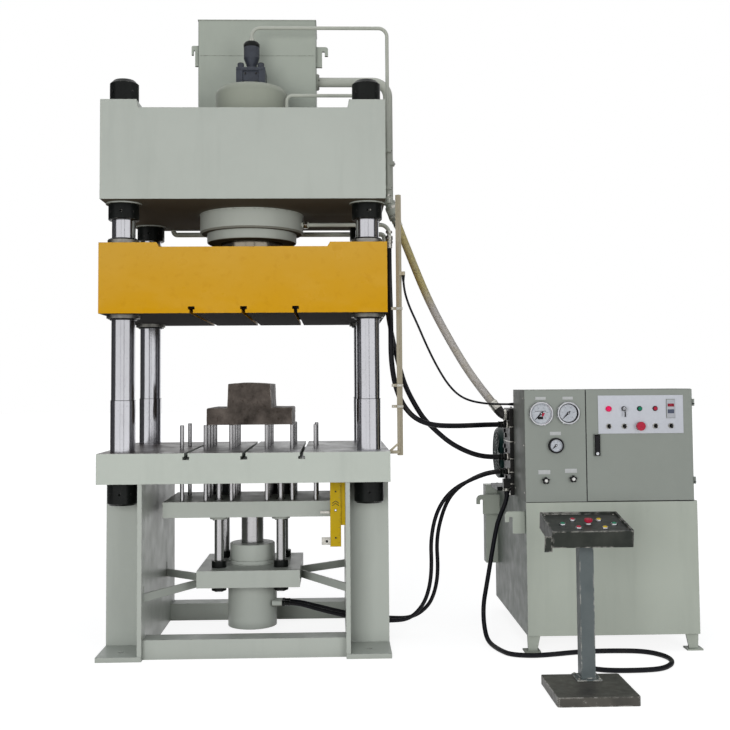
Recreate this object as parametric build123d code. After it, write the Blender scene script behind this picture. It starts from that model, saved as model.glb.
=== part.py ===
from build123d import *
from math import cos, pi, radians, sin, sqrt, tan
import os

# A four-column hydraulic press with its power unit and its push-button pedestal.
# Millimetres, Z up. The origin is the centre of the press on the floor, X runs to
# the right and Y runs away from the front.

# Fits
THREAD_FIT = 0.05           # radial, nut on thread and spigot in bore
RUN_FIT = 0.05              # radial, shaft in bush
BUTTON_FIT = 0.1            # radial, button in its collar
LOOSE = 0.5                 # clearance hole, radial

# Columns
COLUMN_D = 150.0
COLUMN_IN = 130.0           # column axis from the end of the bed
COLUMN_Y = 475.0
COLUMN_SPIGOT_D = 130.0     # through bed and crown
COLUMN_LEN = 1596.0         # between bed and crown
SLEEVE_D = 158.0
SLEEVE_LEN = 329.0
BED_NUT_D = 190.0
BED_NUT_H = 143.0
LOCK_NUT_D = 196.0
LOCK_NUT_H = 103.0
CAP_NUT_D = 185.0
CAP_NUT_H = 168.0
CAP_NUT_END = 18.0          # closed end of the cap nut
NUT_CHAMFER = 12.0
SPANNER_HOLE_D = 16.0
SPANNER_HOLE_DEEP = 22.0

# Base
BASE_H = 1087.0
LEG_L = 283.0               # along the bed
LEG_W = 1280.0
LEG_PLATE = 28.0
LEG_PANEL = 25.0
LEG_PANEL_Y = 344.0         # front face of the recessed panel
FOOT_T = 30.0
FOOT_W = 1290.0
ANCHOR_IN = 135.0           # from the outer face of the leg
ANCHOR_Y = 520.0
ANCHOR_D = 36.0
HOSE_SLOT_W = 190.0
HOSE_SLOT_H = 110.0
HOSE_SLOT_Y = -130.0
HOSE_SLOT_Z = 145.0
RAIL_H = 120.0
RAIL_W = 140.0
RAIL_Y = 592.0              # front face of the front rail, rear face of the rear rail

# Bed and slide
BED_L = 1830.0
BED_W = 1290.0
BED_H = 190.0
SLIDE_IN = 10.0             # end of the slide from the end of the bed
SLIDE_W = 1310.0
SLIDE_H = 419.0
SLIDE_PAD_H = 28.0
SLIDE_PAD_L = 360.0         # raised ends
SLIDE_PAD_SLOPE = 17.0
DAYLIGHT = 874.0            # bed to slide, as shown
BED_SLOT_PITCH = 360.0
SLIDE_SLOT_PITCH = 326.0
SLOT_NECK = 22.0
SLOT_NECK_H = 22.0
SLOT_HEAD = 42.0
SLOT_HEAD_H = 20.0
BUSH_D = 185.0
BUSH_FLANGE_D = 212.0
BUSH_LOW_H = 22.0
BUSH_TOP_D = 204.0
BUSH_TOP_H = 35.0

# Crown
CROWN_IN = 15.0             # end of the crown from the end of the bed
CROWN_W = 1310.0
CROWN_H = 583.0
CROWN_PAD_H = 52.0
CROWN_PAD_L = 228.0
CROWN_PAD_SLOPE = 10.0
CROWN_BOSS_D = 228.0
CROWN_BOSS_H = 8.0

# Main cylinder
CYL_D = 560.0
CYL_BORE = 470.0
CYL_BORE_TOP = 627.0        # above the underside of the crown
CYL_NECK_D = 498.0
CYL_NECK_TOP = 304.0        # above the top of the crown
CYL_ROUND = 48.0
CYL_SHOULDER_D = 640.0
CYL_SHOULDER_H = 70.0
CYL_NUT_D = 712.0
CYL_NUT_H = 133.0
GLAND_D = 616.0
GLAND_H = 65.0
GLAND_SPIGOT_H = 60.0
RAM_D = 430.0
RAM_POCKET = 240.0          # how deep the ram sits in the slide
PISTON_H = 120.0
PISTON_LOW = 407.0          # underside of the piston above the underside of the crown
PREFILL_PORT_D = 110.0

# Prefill valve on the cylinder
VALVE_SIDE = 200.0
VALVE_H = 135.0
VALVE_POCKET_W = 112.0
VALVE_POCKET_H = 96.0
VALVE_POCKET_DEEP = 12.0
VALVE_SCREW_D = 46.0
VALVE_SCREW_H = 30.0
VALVE_SCREW_AT = 70.0
PILOT_NECK_D = 66.0
PILOT_D = 110.0
PILOT_NECK_H = 30.0
PILOT_CONE_H = 60.0
PILOT_H = 205.0

# Upper oil tank behind the cylinder
UTANK_X = 18.0
UTANK_L = 855.0
UTANK_Y = 262.0
UTANK_W = 388.0
UTANK_FOOT_H = 119.0
UTANK_FOOT_W = 80.0
UTANK_FOOT_AT = 300.0       # from the middle of the tank
UTANK_TOP = 906.0           # above the top of the crown
HOOK_T = 20.0
HOOK_LEFT = 52.0
HOOK_RIGHT = 88.0
HOOK_Y = 300.0
HOOK_Z = 569.0              # lower end of the hook above the top of the crown
HOOK_H = 152.0
HOOK_ROOT = 0.5
HOOK_TIP = 68.0             # tip below the top of the hook
HOOK_NOTCH = 35.0

# Rigid pipes
RETURN_D = 70.0
RETURN_OUT = 60.0           # from the end of the bed
RETURN_Y = 420.0
RETURN_Z = 491.0            # above the top of the crown
RETURN_KNEE = 183.0         # bend at the lower end above the underside of the crown
RETURN_BEND = 110.0
RETURN_UNION_L = 100.0
RETURN_ELBOW_OUT = 55.0     # from the left side of the power unit
RETURN_ELBOW_Y = -81.0
RETURN_ELBOW_Z = 1478.0
PILOT_PIPE_D = 25.0
PILOT_PIPE_Z = 749.0        # above the top of the crown
PIPE_DROP_OUT = 35.0        # from the end of the bed
PILOT_PIPE_END = 90.0
RETURN_CLAMPS = (170.0, 460.0)           # above the underside of the crown
PILOT_CLAMPS = (200.0, 460.0)
RING_PIPE_D = 28.0
RING_PIPE_Y = -60.0
RING_PIPE_Z = -73.0         # from the underside of the crown
CROSS_PIPE_D = 36.0
CROSS_PIPE_Y = 605.0
CROSS_PIPE_Z = -38.0
CROSS_PIPE_START = -640.0
CAP_PIPE_D = 24.0
CAP_PIPE_X = 250.0
CAP_PIPE_Y = -120.0
CAP_PIPE_Z = 232.0
CAP_PIPE_IN = 145.0         # from the end of the bed
PORT_D = 44.0

# Ejector
EJ_BODY_D = 330.0
EJ_BODY_LOW = 74.0
EJ_BODY_TOP = 520.0
EJ_GLAND_D = 304.0
EJ_GLAND_H = 108.0
EJ_BORE = 240.0
EJ_ROD_D = 150.0
EJ_PISTON_H = 100.0
EJ_PISTON_LOW = 395.0
EJ_PLATE_GAP = 74.0         # from the legs
EJ_PLATE_W = 640.0
EJ_PLATE_H = 102.0
EJ_PLATE_DROP = 251.0       # underside of the plate from the underside of the bed
EJ_COLLAR_D = 196.0
EJ_PORT_IN = 25.0           # how deep the hose ports sit in the wall
EJ_PORT_L = 40.0
EJ_BUSH_D = 120.0
EJ_BUSH_H = 22.0
EJ_MOUNT_L = 670.0
EJ_MOUNT_W = 690.0
EJ_MOUNT_H = 110.0
EJ_MOUNT_LOW = 385.0
STRUT_H = 50.0
STRUT_T = 12.0
STRUT_Z = 425.0
STRUT_START_Y = 60.0        # at the mounting plate
STRUT_FRONT_Y = 560.0
STRUT_REAR_Y = 300.0
TIE_D = 60.0
TIE_STUD_D = 40.0
TIE_X = 205.0
TIE_Y = 200.0
TIE_NUT_D = 97.0
TIE_NUT_H = 46.0
TIE_NUT_LOW_H = 40.0
TIE_IN_BED = 50.0
STOP_SLEEVE_D = 170.0
STOP_SLEEVE_GAP = 0.5
PIN_D = 27.0
PIN_HOLE_D = 30.0
PIN_OUT = 160.0             # above the bed
PIN_ROWS = (-270.0, -90.0, 90.0, 270.0)
PIN_INNER_X = (117.0, 285.0)
PIN_OUTER_IN = 118.0        # from the end of the plate
PIN_OUTER_ROWS = (-270.0, 90.0)
DIE_X = 3.5
DIE_L = 565.0
DIE_W = 570.0
DIE_LOW_H = 113.0
DIE_TOP_L = 294.0
DIE_TOP_TAPER = 7.0
DIE_TOP_H = 158.0
DIE_CROWN = 9.0

# Stroke rail beside the ejector plate
SCALE_W = 71.0
SCALE_GAP = 27.0            # from the leg
SCALE_Y = -346.0
SCALE_T = 12.0
SCALE_LEN = 444.0
SCALE_BRACKET_LEN = 307.0
SCALE_BRACKET_W = 90.0

# Hose post at the right front corner of the bed: an angle bar with its corner to the front
POST_W = 37.0
POST_T = 4.0
POST_OUT = 72.0             # from the end of the bed
POST_Y = -500.0
POST_DROP = 35.0            # lower end from the top of the bed
POST_RISE = 52.0            # upper end above the underside of the crown
POST_CLAMP_Z = (278.0, 413.0, 908.0)    # above the bed
POST_BAR_H = 21.0
POST_BRACE_H = 94.0         # upper end of the brace above the post's lower end
POST_BRACE_T = 16.0
POST_CLAMP_H = 18.0
POST_ARM = 52.0

# Power unit
UNIT_GAP = 861.0            # left side from the end of the bed
UNIT_Y = -577.0             # front face
OIL_TANK_L = 1096.0
OIL_TANK_W = 1250.0
OIL_TANK_LOW = 105.0
OIL_TANK_TOP = 943.0
TOE_IN = 82.0
TOE_OUT = 20.0
UNIT_HOOK_DOWN = 203.0
UNIT_HOOK_H = 140.0
UNIT_HOOKS = ((60.0, 126.0, 0.62), (1047.0, 169.0, 0.72))  # from the front: place, reach, root
REAR_FOOT_IN = 300.0
SIDE_BOX_OUT = 88.0         # narrow box at the rear of the left side
SIDE_BOX_W = 113.0
SIDE_BOX_H = 575.0
UNIT_FOOT_T = 10.0
CAB_L = 1078.0
CAB_W = 400.0
CAB_H = 712.0
SHEET = 3.0
SWITCH_ROWS = (
    (4, 120.0, 80.0, 90.0, 120.0, 110.0),
    (6, 70.0, 50.0, 70.0, 320.0, 100.0),
)                           # count, pitch, width, depth, top below the roof, height
SWITCH_ROW_IN = 90.0
TERMINALS_DOWN = 550.0
TERMINALS_H = 50.0
TERMINALS_DEEP = 45.0
DOOR_X = 391.0              # left edge of the door from the cabinet's left side
DOOR_T = 20.0
DOOR_GAP = 3.0
HINGE_D = 14.0
HINGE_PIN_D = 7.0
HINGE_LEN = 22.0
HINGE_Z = (1050.0, 1545.0)
HINGE_OUT = 6.0             # pin centre from the side of the cabinet
HINGE_FRONT = 3.0           # pin centre in front of the door
PANEL_IN = 470.0            # left edge of the panel from the cabinet's left side
PANEL_L = 549.0
PANEL_Z = (1372.0, 1615.0)
PANEL_T = 2.0
CONTROL_IN = 67.0           # first column of controls from the panel's left edge
CONTROL_PITCH = 100.0
CONTROL_TOP_Z = 1530.0
CONTROL_LOW_Z = 1419.0
COLLAR_D = 31.0
COLLAR_H = 8.0
COLLAR_DEEP = 32.0
CAP_D = 24.0
CAP_OUT = 7.0               # cap stands out of its collar
MUSHROOM_D = 57.0
GAUGE_AT = ((103.0, 1503.0, 150.0), (277.0, 1505.0, 142.0), (195.0, 1300.0, 96.0))
GAUGE_H = 24.0
GAUGE_RIM = 9.0
GAUGE_DEEP = 13.0
GAUGE_HUB_D = 8.0
KNOB_AT = ((125.0, 1080.0), (300.0, 1089.0))
KNOB_D = 46.0
KNOB_H = 20.0
KNOB_CAP_D = 20.0
KNOB_STEM_D = 14.0
HANDLE_IN = 460.0
HANDLE_Z = (1231.0, 1370.0)
HANDLE_W = 40.0
HANDLE_PIN_D = 5.0
MOTOR_D = 330.0
MOTOR_L = 630.0
MOTOR_IN = -34.0            # fan end from the left side of the power unit
MOTOR_Y = 300.0
MOTOR_Z = 1200.0
MANIFOLD_OUT = 24.0         # overhang at the left side of the power unit
MANIFOLD_L = 328.0
MANIFOLD_Y = (-160.0, 90.0)
MANIFOLD_TOP = 1520.0
JUNCTION_IN = 54.0          # junction box behind the cabinet, from its left side
JUNCTION_L = 150.0
JUNCTION_W = 87.0
JUNCTION_Z = (1530.0, 1640.0)
MOTOR_BASE_T = 26.0
MOTOR_BASE_OUT = 64.0
MOTOR_BASE_L = 560.0

# Pedestal
PED_IN = 192.0              # post axis from the left side of the power unit
PED_BASE_SHIFT = 23.0
PED_BASE_L = 440.0
PED_BASE_Y = (-1640.0, -1213.0)
PED_BASE_H = 50.0
PED_POST = 80.0
PED_POST_Y = -1290.0
PED_BOX_L = 446.0
PED_BOX_Y = -1500.0         # front top edge of the box
PED_BOX_Z = 891.0
PED_BOX_D = 356.0           # along the slope
PED_BOX_H = 92.0
PED_TILT = 10.0
PED_RIM = 12.0
PED_RECESS = 12.0
TAB_OUT = 40.0              # ear at the front of the box's left side
TAB_T = 5.0
TAB_LOW = 27.0              # below the box
TAB_H = 88.0
PED_BUTTONS = {
    "green_left": (-135.0, 152.0),
    "red_rear": (-62.0, 228.0),
    "red_front": (-60.0, 88.0),
    "mushroom": (13.0, 168.0),
    "yellow_rear": (84.0, 220.0),
    "yellow_front": (84.0, 80.0),
    "green_right": (152.0, 144.0),
}

# Hoses and cables: diameter and route, X from the end of the bed
RETURN_HOSE_D = 58.0
RETURN_HOSE_START = 45.0    # above the underside of the crown
RETURN_ROUTE = [
    (108, 388, 2918), (204, 324, 2642), (335, 235, 2287), (490, 130, 1965), (638, 31, 1702),
    (776, -61, 1518),
]
PRESSURE_HOSE_D = 34.0
HOSE_A_START = 183.0        # below the underside of the crown
HOSE_B_START = 143.0
ROUTE_A = [
    (35, -60, 2690), (35, -60, 2600), (33, -110, 2455), (29, -225, 2310), (25, -350, 2190),
    (22, -425, 2040), (20, -438, 1880), (36, -434, 1740), (63, -428, 1635), (111, -414, 1540),
    (185, -390, 1466), (300, -334, 1424), (475, -255, 1416), (630, -165, 1418), (733, -90, 1417),
    (822, -90, 1417),
]
ROUTE_B = [
    (35, 605, 2730), (35, 605, 2630), (35, 560, 2480), (38, 455, 2330), (45, 320, 2190),
    (57, 150, 2065), (73, -20, 1930), (97, -150, 1800), (125, -212, 1690), (175, -222, 1585),
    (245, -205, 1469), (341, -182, 1374), (438, -160, 1294), (548, -135, 1237), (640, -112, 1206),
    (735, -90, 1196), (822, -90, 1196),
]
EJECTOR_HOSE_D = 26.0
EJECTOR_ROUTE_A = [
    (-710, -40, 235), (-615, -40, 235), (-445, -60, 195), (-275, -90, 160), (-135, -100, 138),
    (15, -100, 125), (165, -100, 122), (275, -100, 195), (325, -100, 300), (347, -100, 440),
    (335, -100, 660), (395, -100, 875), (474, -100, 985), (605, -85, 1062), (728, -70, 1100),
    (822, -70, 1100),
]
EJECTOR_ROUTE_B = [
    (-710, -110, 235), (-615, -110, 235), (-445, -130, 188), (-275, -158, 152), (-135, -165, 128),
    (15, -165, 118), (145, -165, 128), (235, -165, 215), (280, -165, 330), (297, -165, 470),
    (291, -165, 660), (335, -165, 850), (435, -165, 985), (592, -150, 1060), (728, -130, 1100),
    (822, -130, 1100),
]
SWITCH_CABLE_D = 14.0
SWITCH_CABLE_START = 473.0  # below the underside of the crown
SWITCH_ROUTE = [
    (101, -500, 2400), (101, -500, 2325), (133, -483, 2212), (191, -451, 2092), (245, -422, 1970),
    (298, -393, 1862), (353, -364, 1765), (407, -334, 1687), (473, -299, 1622), (555, -254, 1583),
    (670, -192, 1562), (785, -130, 1556), (875, -130, 1556),
]
PEDESTAL_CABLE_D = 30.0
PEDESTAL_ROUTE = [
    (812, -150, 972), (812, -150, 928), (799, -150, 884), (771, -150, 820), (743, -152, 750),
    (714, -158, 613), (673, -178, 405), (654, -195, 320), (638, -215, 254), (629, -240, 185),
    (627, -280, 112), (633, -335, 47), (646, -400, 24), (666, -466, 16), (694, -570, 16),
    (735, -655, 16), (850, -695, 17), (975, -675, 16), (1193, -615, 17), (1405, -605, 16),
    (1585, -630, 17), (1683, -745, 16), (1679, -889, 17), (1585, -1010, 16), (1455, -1045, 17),
    (1265, -1040, 16), (1150, -1035, 26), (1080, -1075, 60), (1053, -1150, 90), (1053, -1230, 90),
]

# Places worked out from the sizes above
SIDE = BED_L / 2
COLUMN_X = SIDE - COLUMN_IN
LEG_OUT = SIDE
LEG_IN = SIDE - LEG_L
ANCHOR_X = SIDE - ANCHOR_IN
BED_TOP = BASE_H + BED_H
CROWN_LOW = BED_TOP + COLUMN_LEN
CROWN_L = BED_L - 2 * CROWN_IN
CROWN_PAD_IN = CROWN_L / 2 - CROWN_PAD_L
SLIDE_L = BED_L - 2 * SLIDE_IN
SLIDE_PAD_IN = SLIDE_L / 2 - SLIDE_PAD_L
CROWN_TOP = CROWN_LOW + CROWN_H
CROWN_PAD_TOP = CROWN_TOP + CROWN_PAD_H
SLIDE_LOW = BED_TOP + DAYLIGHT
SLIDE_TOP = SLIDE_LOW + SLIDE_H
SLIDE_PAD_TOP = SLIDE_TOP + SLIDE_PAD_H
CYL_TOP = CROWN_TOP + CYL_NECK_TOP
CYL_NUT_LOW = CROWN_LOW - CYL_NUT_H
RETURN_X = SIDE + RETURN_OUT
PIPE_DROP_X = SIDE + PIPE_DROP_OUT
CAP_PIPE_END_X = SIDE - CAP_PIPE_IN
EJ_PLATE_L = 2 * (LEG_IN - EJ_PLATE_GAP)
EJ_PLATE_LOW = BASE_H - EJ_PLATE_DROP
EJ_PLATE_TOP = EJ_PLATE_LOW + EJ_PLATE_H
PIN_OUTER_X = EJ_PLATE_L / 2 - PIN_OUTER_IN
PIN_TOP = BED_TOP + PIN_OUT
SCALE_X = (LEG_IN - SCALE_GAP - SCALE_W, LEG_IN - SCALE_GAP)
SCALE_LOW = BASE_H - SCALE_LEN
SCALE_BRACKET_LOW = BASE_H - SCALE_BRACKET_LEN
POST_X = SIDE + POST_OUT
POST_LOW = BED_TOP - POST_DROP
UNIT_X = SIDE + UNIT_GAP
RETURN_ELBOW = (UNIT_X - RETURN_ELBOW_OUT, RETURN_ELBOW_Y, RETURN_ELBOW_Z)
DOOR_FRONT = UNIT_Y
DOOR_BACK = UNIT_Y + DOOR_T
CAB_TOP = OIL_TANK_TOP + CAB_H
CAB_RIGHT = UNIT_X + CAB_L
PANEL_X = (UNIT_X + PANEL_IN, UNIT_X + PANEL_IN + PANEL_L)
CONTROL_X = PANEL_X[0] + CONTROL_IN
GAUGES = [(UNIT_X + x, z, d) for x, z, d in GAUGE_AT]
KNOBS = [(UNIT_X + x, z) for x, z in KNOB_AT]
HANDLE_X = UNIT_X + HANDLE_IN
MOTOR_X = UNIT_X + MOTOR_IN
MANIFOLD_X = (UNIT_X - MANIFOLD_OUT, UNIT_X - MANIFOLD_OUT + MANIFOLD_L)
JUNCTION_X = UNIT_X + JUNCTION_IN
PED_X = UNIT_X + PED_IN
PED_BASE_X = PED_X - PED_BASE_SHIFT
COLLAR_BORE = CAP_D + 2 * BUTTON_FIT


def laid(route, start_x, start_z):
    """A hose's route with its end kept and its start moved to a given place."""
    first, last = route[0], route[-1]
    stretch_x = (start_x - SIDE - last[0]) / (first[0] - last[0])
    stretch_z = (start_z - last[2]) / (first[2] - last[2])
    return [(SIDE + last[0] + (x - last[0]) * stretch_x, y, last[2] + (z - last[2]) * stretch_z)
            for x, y, z in route]


RETURN_HOSE = laid(RETURN_ROUTE, SIDE + RETURN_ROUTE[0][0], CROWN_LOW + RETURN_HOSE_START)
HOSE_A = laid(ROUTE_A, PIPE_DROP_X, CROWN_LOW - HOSE_A_START)
HOSE_B = laid(ROUTE_B, PIPE_DROP_X, CROWN_LOW - HOSE_B_START)
EJECTOR_HOSE_A = laid(EJECTOR_ROUTE_A, EJ_BODY_D / 2 + EJ_PORT_L, EJECTOR_ROUTE_A[0][2])
EJECTOR_HOSE_B = laid(EJECTOR_ROUTE_B, EJ_BODY_D / 2 + EJ_PORT_L, EJECTOR_ROUTE_B[0][2])
SWITCH_CABLE = laid(SWITCH_ROUTE, SIDE + SWITCH_ROUTE[0][0], CROWN_LOW - SWITCH_CABLE_START)
PEDESTAL_CABLE = laid(PEDESTAL_ROUTE, SIDE + PEDESTAL_ROUTE[0][0], PEDESTAL_ROUTE[0][2])


def bar(x, y, z):
    """A block between two limits on each axis."""
    size = [pair[1] - pair[0] for pair in (x, y, z)]
    middle = [(pair[1] + pair[0]) / 2 for pair in (x, y, z)]
    return Pos(*middle) * Box(*size)


def disc(d, z, x=0.0, y=0.0):
    """An upright cylinder between two heights."""
    return Pos(x, y, (z[0] + z[1]) / 2) * Cylinder(d / 2, z[1] - z[0])


def disc_x(d, x, y, z):
    """A cylinder along X between two limits."""
    return Pos((x[0] + x[1]) / 2, y, z) * Rot(0, 90, 0) * Cylinder(d / 2, x[1] - x[0])


def disc_y(d, y, x, z):
    """A cylinder along Y between two limits."""
    return Pos(x, (y[0] + y[1]) / 2, z) * Rot(90, 0, 0) * Cylinder(d / 2, y[1] - y[0])


def ring(d_out, d_in, z, x=0.0, y=0.0):
    """An upright ring."""
    return disc(d_out, z, x, y) - disc(d_in, z, x, y)


def prism_y(points, y):
    """A flat outline of X and Z points, drawn out along Y."""
    plane = Plane(origin=(0, y[1], 0), x_dir=(1, 0, 0), z_dir=(0, -1, 0))
    return extrude(plane * Polygon(*points, align=None), y[1] - y[0])


def prism_z(points, z):
    """A flat outline of X and Y points, drawn out along Z."""
    return extrude(Plane.XY.offset(z[0]) * Polygon(*points, align=None), z[1] - z[0])


def turned(points):
    """A solid of revolution about Z from radius and height points."""
    return revolve(Plane.XZ * Polygon(*points, align=None), Axis.Z)


def moved_to_columns(shape):
    """Four copies of a shape, one on each column's axis."""
    places = [(x, y) for x in (-COLUMN_X, COLUMN_X) for y in (-COLUMN_Y, COLUMN_Y)]
    return [Pos(x, y, 0) * shape for x, y in places]


def mirrored_x(shape):
    """A shape and its mirror image across the middle of the press."""
    return [shape, mirror(shape, Plane.YZ)]


def pipe(points, d, bend):
    """A rigid round pipe along straight runs with equal bends."""
    line = FilletPolyline(*points, radius=bend)
    start = Plane(origin=line @ 0, z_dir=line % 0)
    return sweep(start * Circle(d / 2), path=line)


def rod_back(start, end, d, length):
    """A round bar of one length that ends at a point, in line with where it comes from."""
    way = (Vector(*end) - Vector(*start)).normalized()
    base = Plane(origin=Vector(*end) - way * length, z_dir=way)
    return extrude(base * Circle(d / 2), length)


def bend_radii(points):
    """One radius for each corner: 0.45 of the shorter run over tan of half the turn."""
    radii = []
    for before, here, after in zip(points, points[1:], points[2:]):
        run_in = Vector(*here) - Vector(*before)
        run_out = Vector(*after) - Vector(*here)
        turn = radians(run_in.get_angle(run_out))
        radii.append(0.45 * min(run_in.length, run_out.length) / tan(turn / 2))
    return radii


def hose(name, points, d):
    """A plain tube along a hose's route, with its tightest bend and volume printed."""
    radii = bend_radii(points)
    line = FilletPolyline(*points, radius=radii)
    start = Plane(origin=line @ 0, z_dir=line % 0)
    tube = sweep(start * Circle(d / 2), path=line)
    expected = pi * d * d / 4 * line.length
    print(f"{name}: length {line.length:.0f}, tightest bend {min(radii) / d:.1f} diameters, "
          f"volume {tube.volume / expected:.4f} of section times length")
    return tube


def tee_slots(pitch, face, down, length):
    """Three T-slots along Y, cut down or up from a flat face."""
    sign = -1 if down else 1
    cuts = []
    for x in (-pitch, 0.0, pitch):
        neck_z = sorted((face, face + sign * SLOT_NECK_H))
        head_z = sorted((face + sign * SLOT_NECK_H, face + sign * (SLOT_NECK_H + SLOT_HEAD_H)))
        reach = (-length / 2 - 1, length / 2 + 1)
        cuts.append(bar((x - SLOT_NECK / 2, x + SLOT_NECK / 2), reach, neck_z))
        cuts.append(bar((x - SLOT_HEAD / 2, x + SLOT_HEAD / 2), reach, head_z))
    return cuts


def raised_ends(half_length, inner, slope, width, top, height):
    """The raised ends of the crown or the slide, with a sloping step."""
    outline = [(half_length, top), (half_length, top + height), (inner, top + height), (inner - slope, top)]
    return mirrored_x(prism_y(outline, (-width / 2, width / 2)))


def make_leg(side):
    """One welded leg: side plate, two recessed panels, outer plate and foot plate."""
    half = LEG_W / 2
    leg = bar((LEG_IN, LEG_IN + LEG_PLATE), (-half, half), (FOOT_T, BASE_H))
    for sign in (-1, 1):
        panel_y = sorted((sign * LEG_PANEL_Y, sign * (LEG_PANEL_Y - LEG_PANEL)))
        leg += bar((LEG_IN + LEG_PLATE, LEG_OUT), panel_y, (FOOT_T, BASE_H))
    inside = LEG_PANEL_Y - LEG_PANEL
    leg += bar((LEG_OUT - LEG_PANEL, LEG_OUT), (-inside, inside), (FOOT_T, BASE_H))
    leg += bar((LEG_IN, LEG_OUT), (-FOOT_W / 2, FOOT_W / 2), (0, FOOT_T))
    for y in (-ANCHOR_Y, ANCHOR_Y):
        leg -= disc(ANCHOR_D, (-1, FOOT_T + 1), ANCHOR_X, y)
    if side < 0:
        return mirror(leg, Plane.YZ)
    slot_y = (HOSE_SLOT_Y - HOSE_SLOT_W / 2, HOSE_SLOT_Y + HOSE_SLOT_W / 2)
    slot_z = (HOSE_SLOT_Z - HOSE_SLOT_H / 2, HOSE_SLOT_Z + HOSE_SLOT_H / 2)
    return leg - bar((LEG_IN - 1, LEG_OUT + 1), slot_y, slot_z)


def make_base_rails():
    """Two rails on the floor between the legs."""
    across = (-LEG_IN, LEG_IN)
    front = bar(across, (-RAIL_Y, -RAIL_Y + RAIL_W), (0, RAIL_H))
    rear = bar(across, (RAIL_Y - RAIL_W, RAIL_Y), (0, RAIL_H))
    return [front, rear]


def pin_places():
    """Where the ejector pins stand."""
    places = [(sign * x, y) for sign in (-1, 1) for x in PIN_INNER_X for y in PIN_ROWS]
    places += [(sign * PIN_OUTER_X, y) for sign in (-1, 1) for y in PIN_OUTER_ROWS]
    return places


def make_bed():
    """The bed plate with T-slots, column bores, pin holes and tapped holes for the rods."""
    bed = bar((-BED_L / 2, BED_L / 2), (-BED_W / 2, BED_W / 2), (BASE_H, BED_TOP))
    cuts = tee_slots(BED_SLOT_PITCH, BED_TOP, True, BED_W)
    cuts += moved_to_columns(disc(COLUMN_SPIGOT_D + 2 * THREAD_FIT, (BASE_H - 1, BED_TOP + 1)))
    cuts += [disc(PIN_HOLE_D, (BASE_H - 1, BED_TOP + 1), x, y) for x, y in pin_places()]
    tapped = (BASE_H - 1, BASE_H + TIE_IN_BED)
    cuts += [disc(TIE_STUD_D + 2 * THREAD_FIT, tapped, x, y) for x, y in tie_places()]
    return bed - cuts


def make_crown():
    """The crown with raised ends, nut bosses, column bores and the cylinder bore."""
    crown = bar((-CROWN_L / 2, CROWN_L / 2), (-CROWN_W / 2, CROWN_W / 2), (CROWN_LOW, CROWN_TOP))
    crown += raised_ends(CROWN_L / 2, CROWN_PAD_IN, CROWN_PAD_SLOPE, CROWN_W, CROWN_TOP, CROWN_PAD_H)
    crown += moved_to_columns(disc(CROWN_BOSS_D, (CROWN_LOW - CROWN_BOSS_H, CROWN_LOW)))
    bores = moved_to_columns(disc(COLUMN_SPIGOT_D + 2 * THREAD_FIT, (CROWN_LOW - 1, CROWN_PAD_TOP + 1)))
    bores += moved_to_columns(disc(COLUMN_D + 2 * THREAD_FIT, (CROWN_LOW - CROWN_BOSS_H - 1, CROWN_LOW)))
    bores.append(disc(CYL_D + 2 * THREAD_FIT, (CROWN_LOW - 1, CROWN_TOP + 1)))
    return crown - bores


def make_columns():
    """Four columns with their threaded spigots, and the stop sleeves at their feet."""
    column = disc(COLUMN_D, (BED_TOP, CROWN_LOW))
    column += disc(COLUMN_SPIGOT_D, (BASE_H - BED_NUT_H + NUT_CHAMFER, BED_TOP))
    column += disc(COLUMN_SPIGOT_D, (CROWN_LOW, CROWN_PAD_TOP + CAP_NUT_H - CAP_NUT_END - 1))
    sleeve = ring(SLEEVE_D, COLUMN_D + 2 * THREAD_FIT, (BED_TOP, BED_TOP + SLEEVE_LEN))
    return moved_to_columns(column) + moved_to_columns(sleeve)


def spanner_holes(d, z):
    """Two holes across a round nut for its spanner."""
    deep = SPANNER_HOLE_DEEP
    front = disc_y(SPANNER_HOLE_D, (-d / 2 - 1, -d / 2 + deep), 0, z)
    back = disc_y(SPANNER_HOLE_D, (d / 2 - deep, d / 2 + 1), 0, z)
    return [front, back]


def make_column_nuts():
    """Bed nuts, lock nuts under the crown and cap nuts on top of it."""
    low = BASE_H - BED_NUT_H
    bed_nut = disc(BED_NUT_D, (low, BASE_H))
    bed_nut = chamfer(bed_nut.edges().group_by(Axis.Z)[0], NUT_CHAMFER)
    bed_nut -= disc(COLUMN_SPIGOT_D + 2 * THREAD_FIT, (low - 1, BASE_H + 1))
    bed_nut -= spanner_holes(BED_NUT_D, low + BED_NUT_H / 2)
    seat = CROWN_LOW - CROWN_BOSS_H
    lock_nut = disc(LOCK_NUT_D, (seat - LOCK_NUT_H, seat))
    lock_nut = chamfer(lock_nut.edges().group_by(Axis.Z)[0], NUT_CHAMFER / 2)
    lock_nut -= disc(COLUMN_D + 2 * THREAD_FIT, (seat - LOCK_NUT_H - 1, seat + 1))
    lock_nut -= spanner_holes(LOCK_NUT_D, seat - LOCK_NUT_H / 2)
    cap_nut = disc(CAP_NUT_D, (CROWN_PAD_TOP, CROWN_PAD_TOP + CAP_NUT_H))
    cap_nut = chamfer(cap_nut.edges().group_by(Axis.Z)[-1], 2 * NUT_CHAMFER)
    bore_top = CROWN_PAD_TOP + CAP_NUT_H - CAP_NUT_END
    cap_nut -= disc(COLUMN_SPIGOT_D + 2 * THREAD_FIT, (CROWN_PAD_TOP - 1, bore_top))
    return moved_to_columns(bed_nut) + moved_to_columns(lock_nut) + moved_to_columns(cap_nut)


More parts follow.
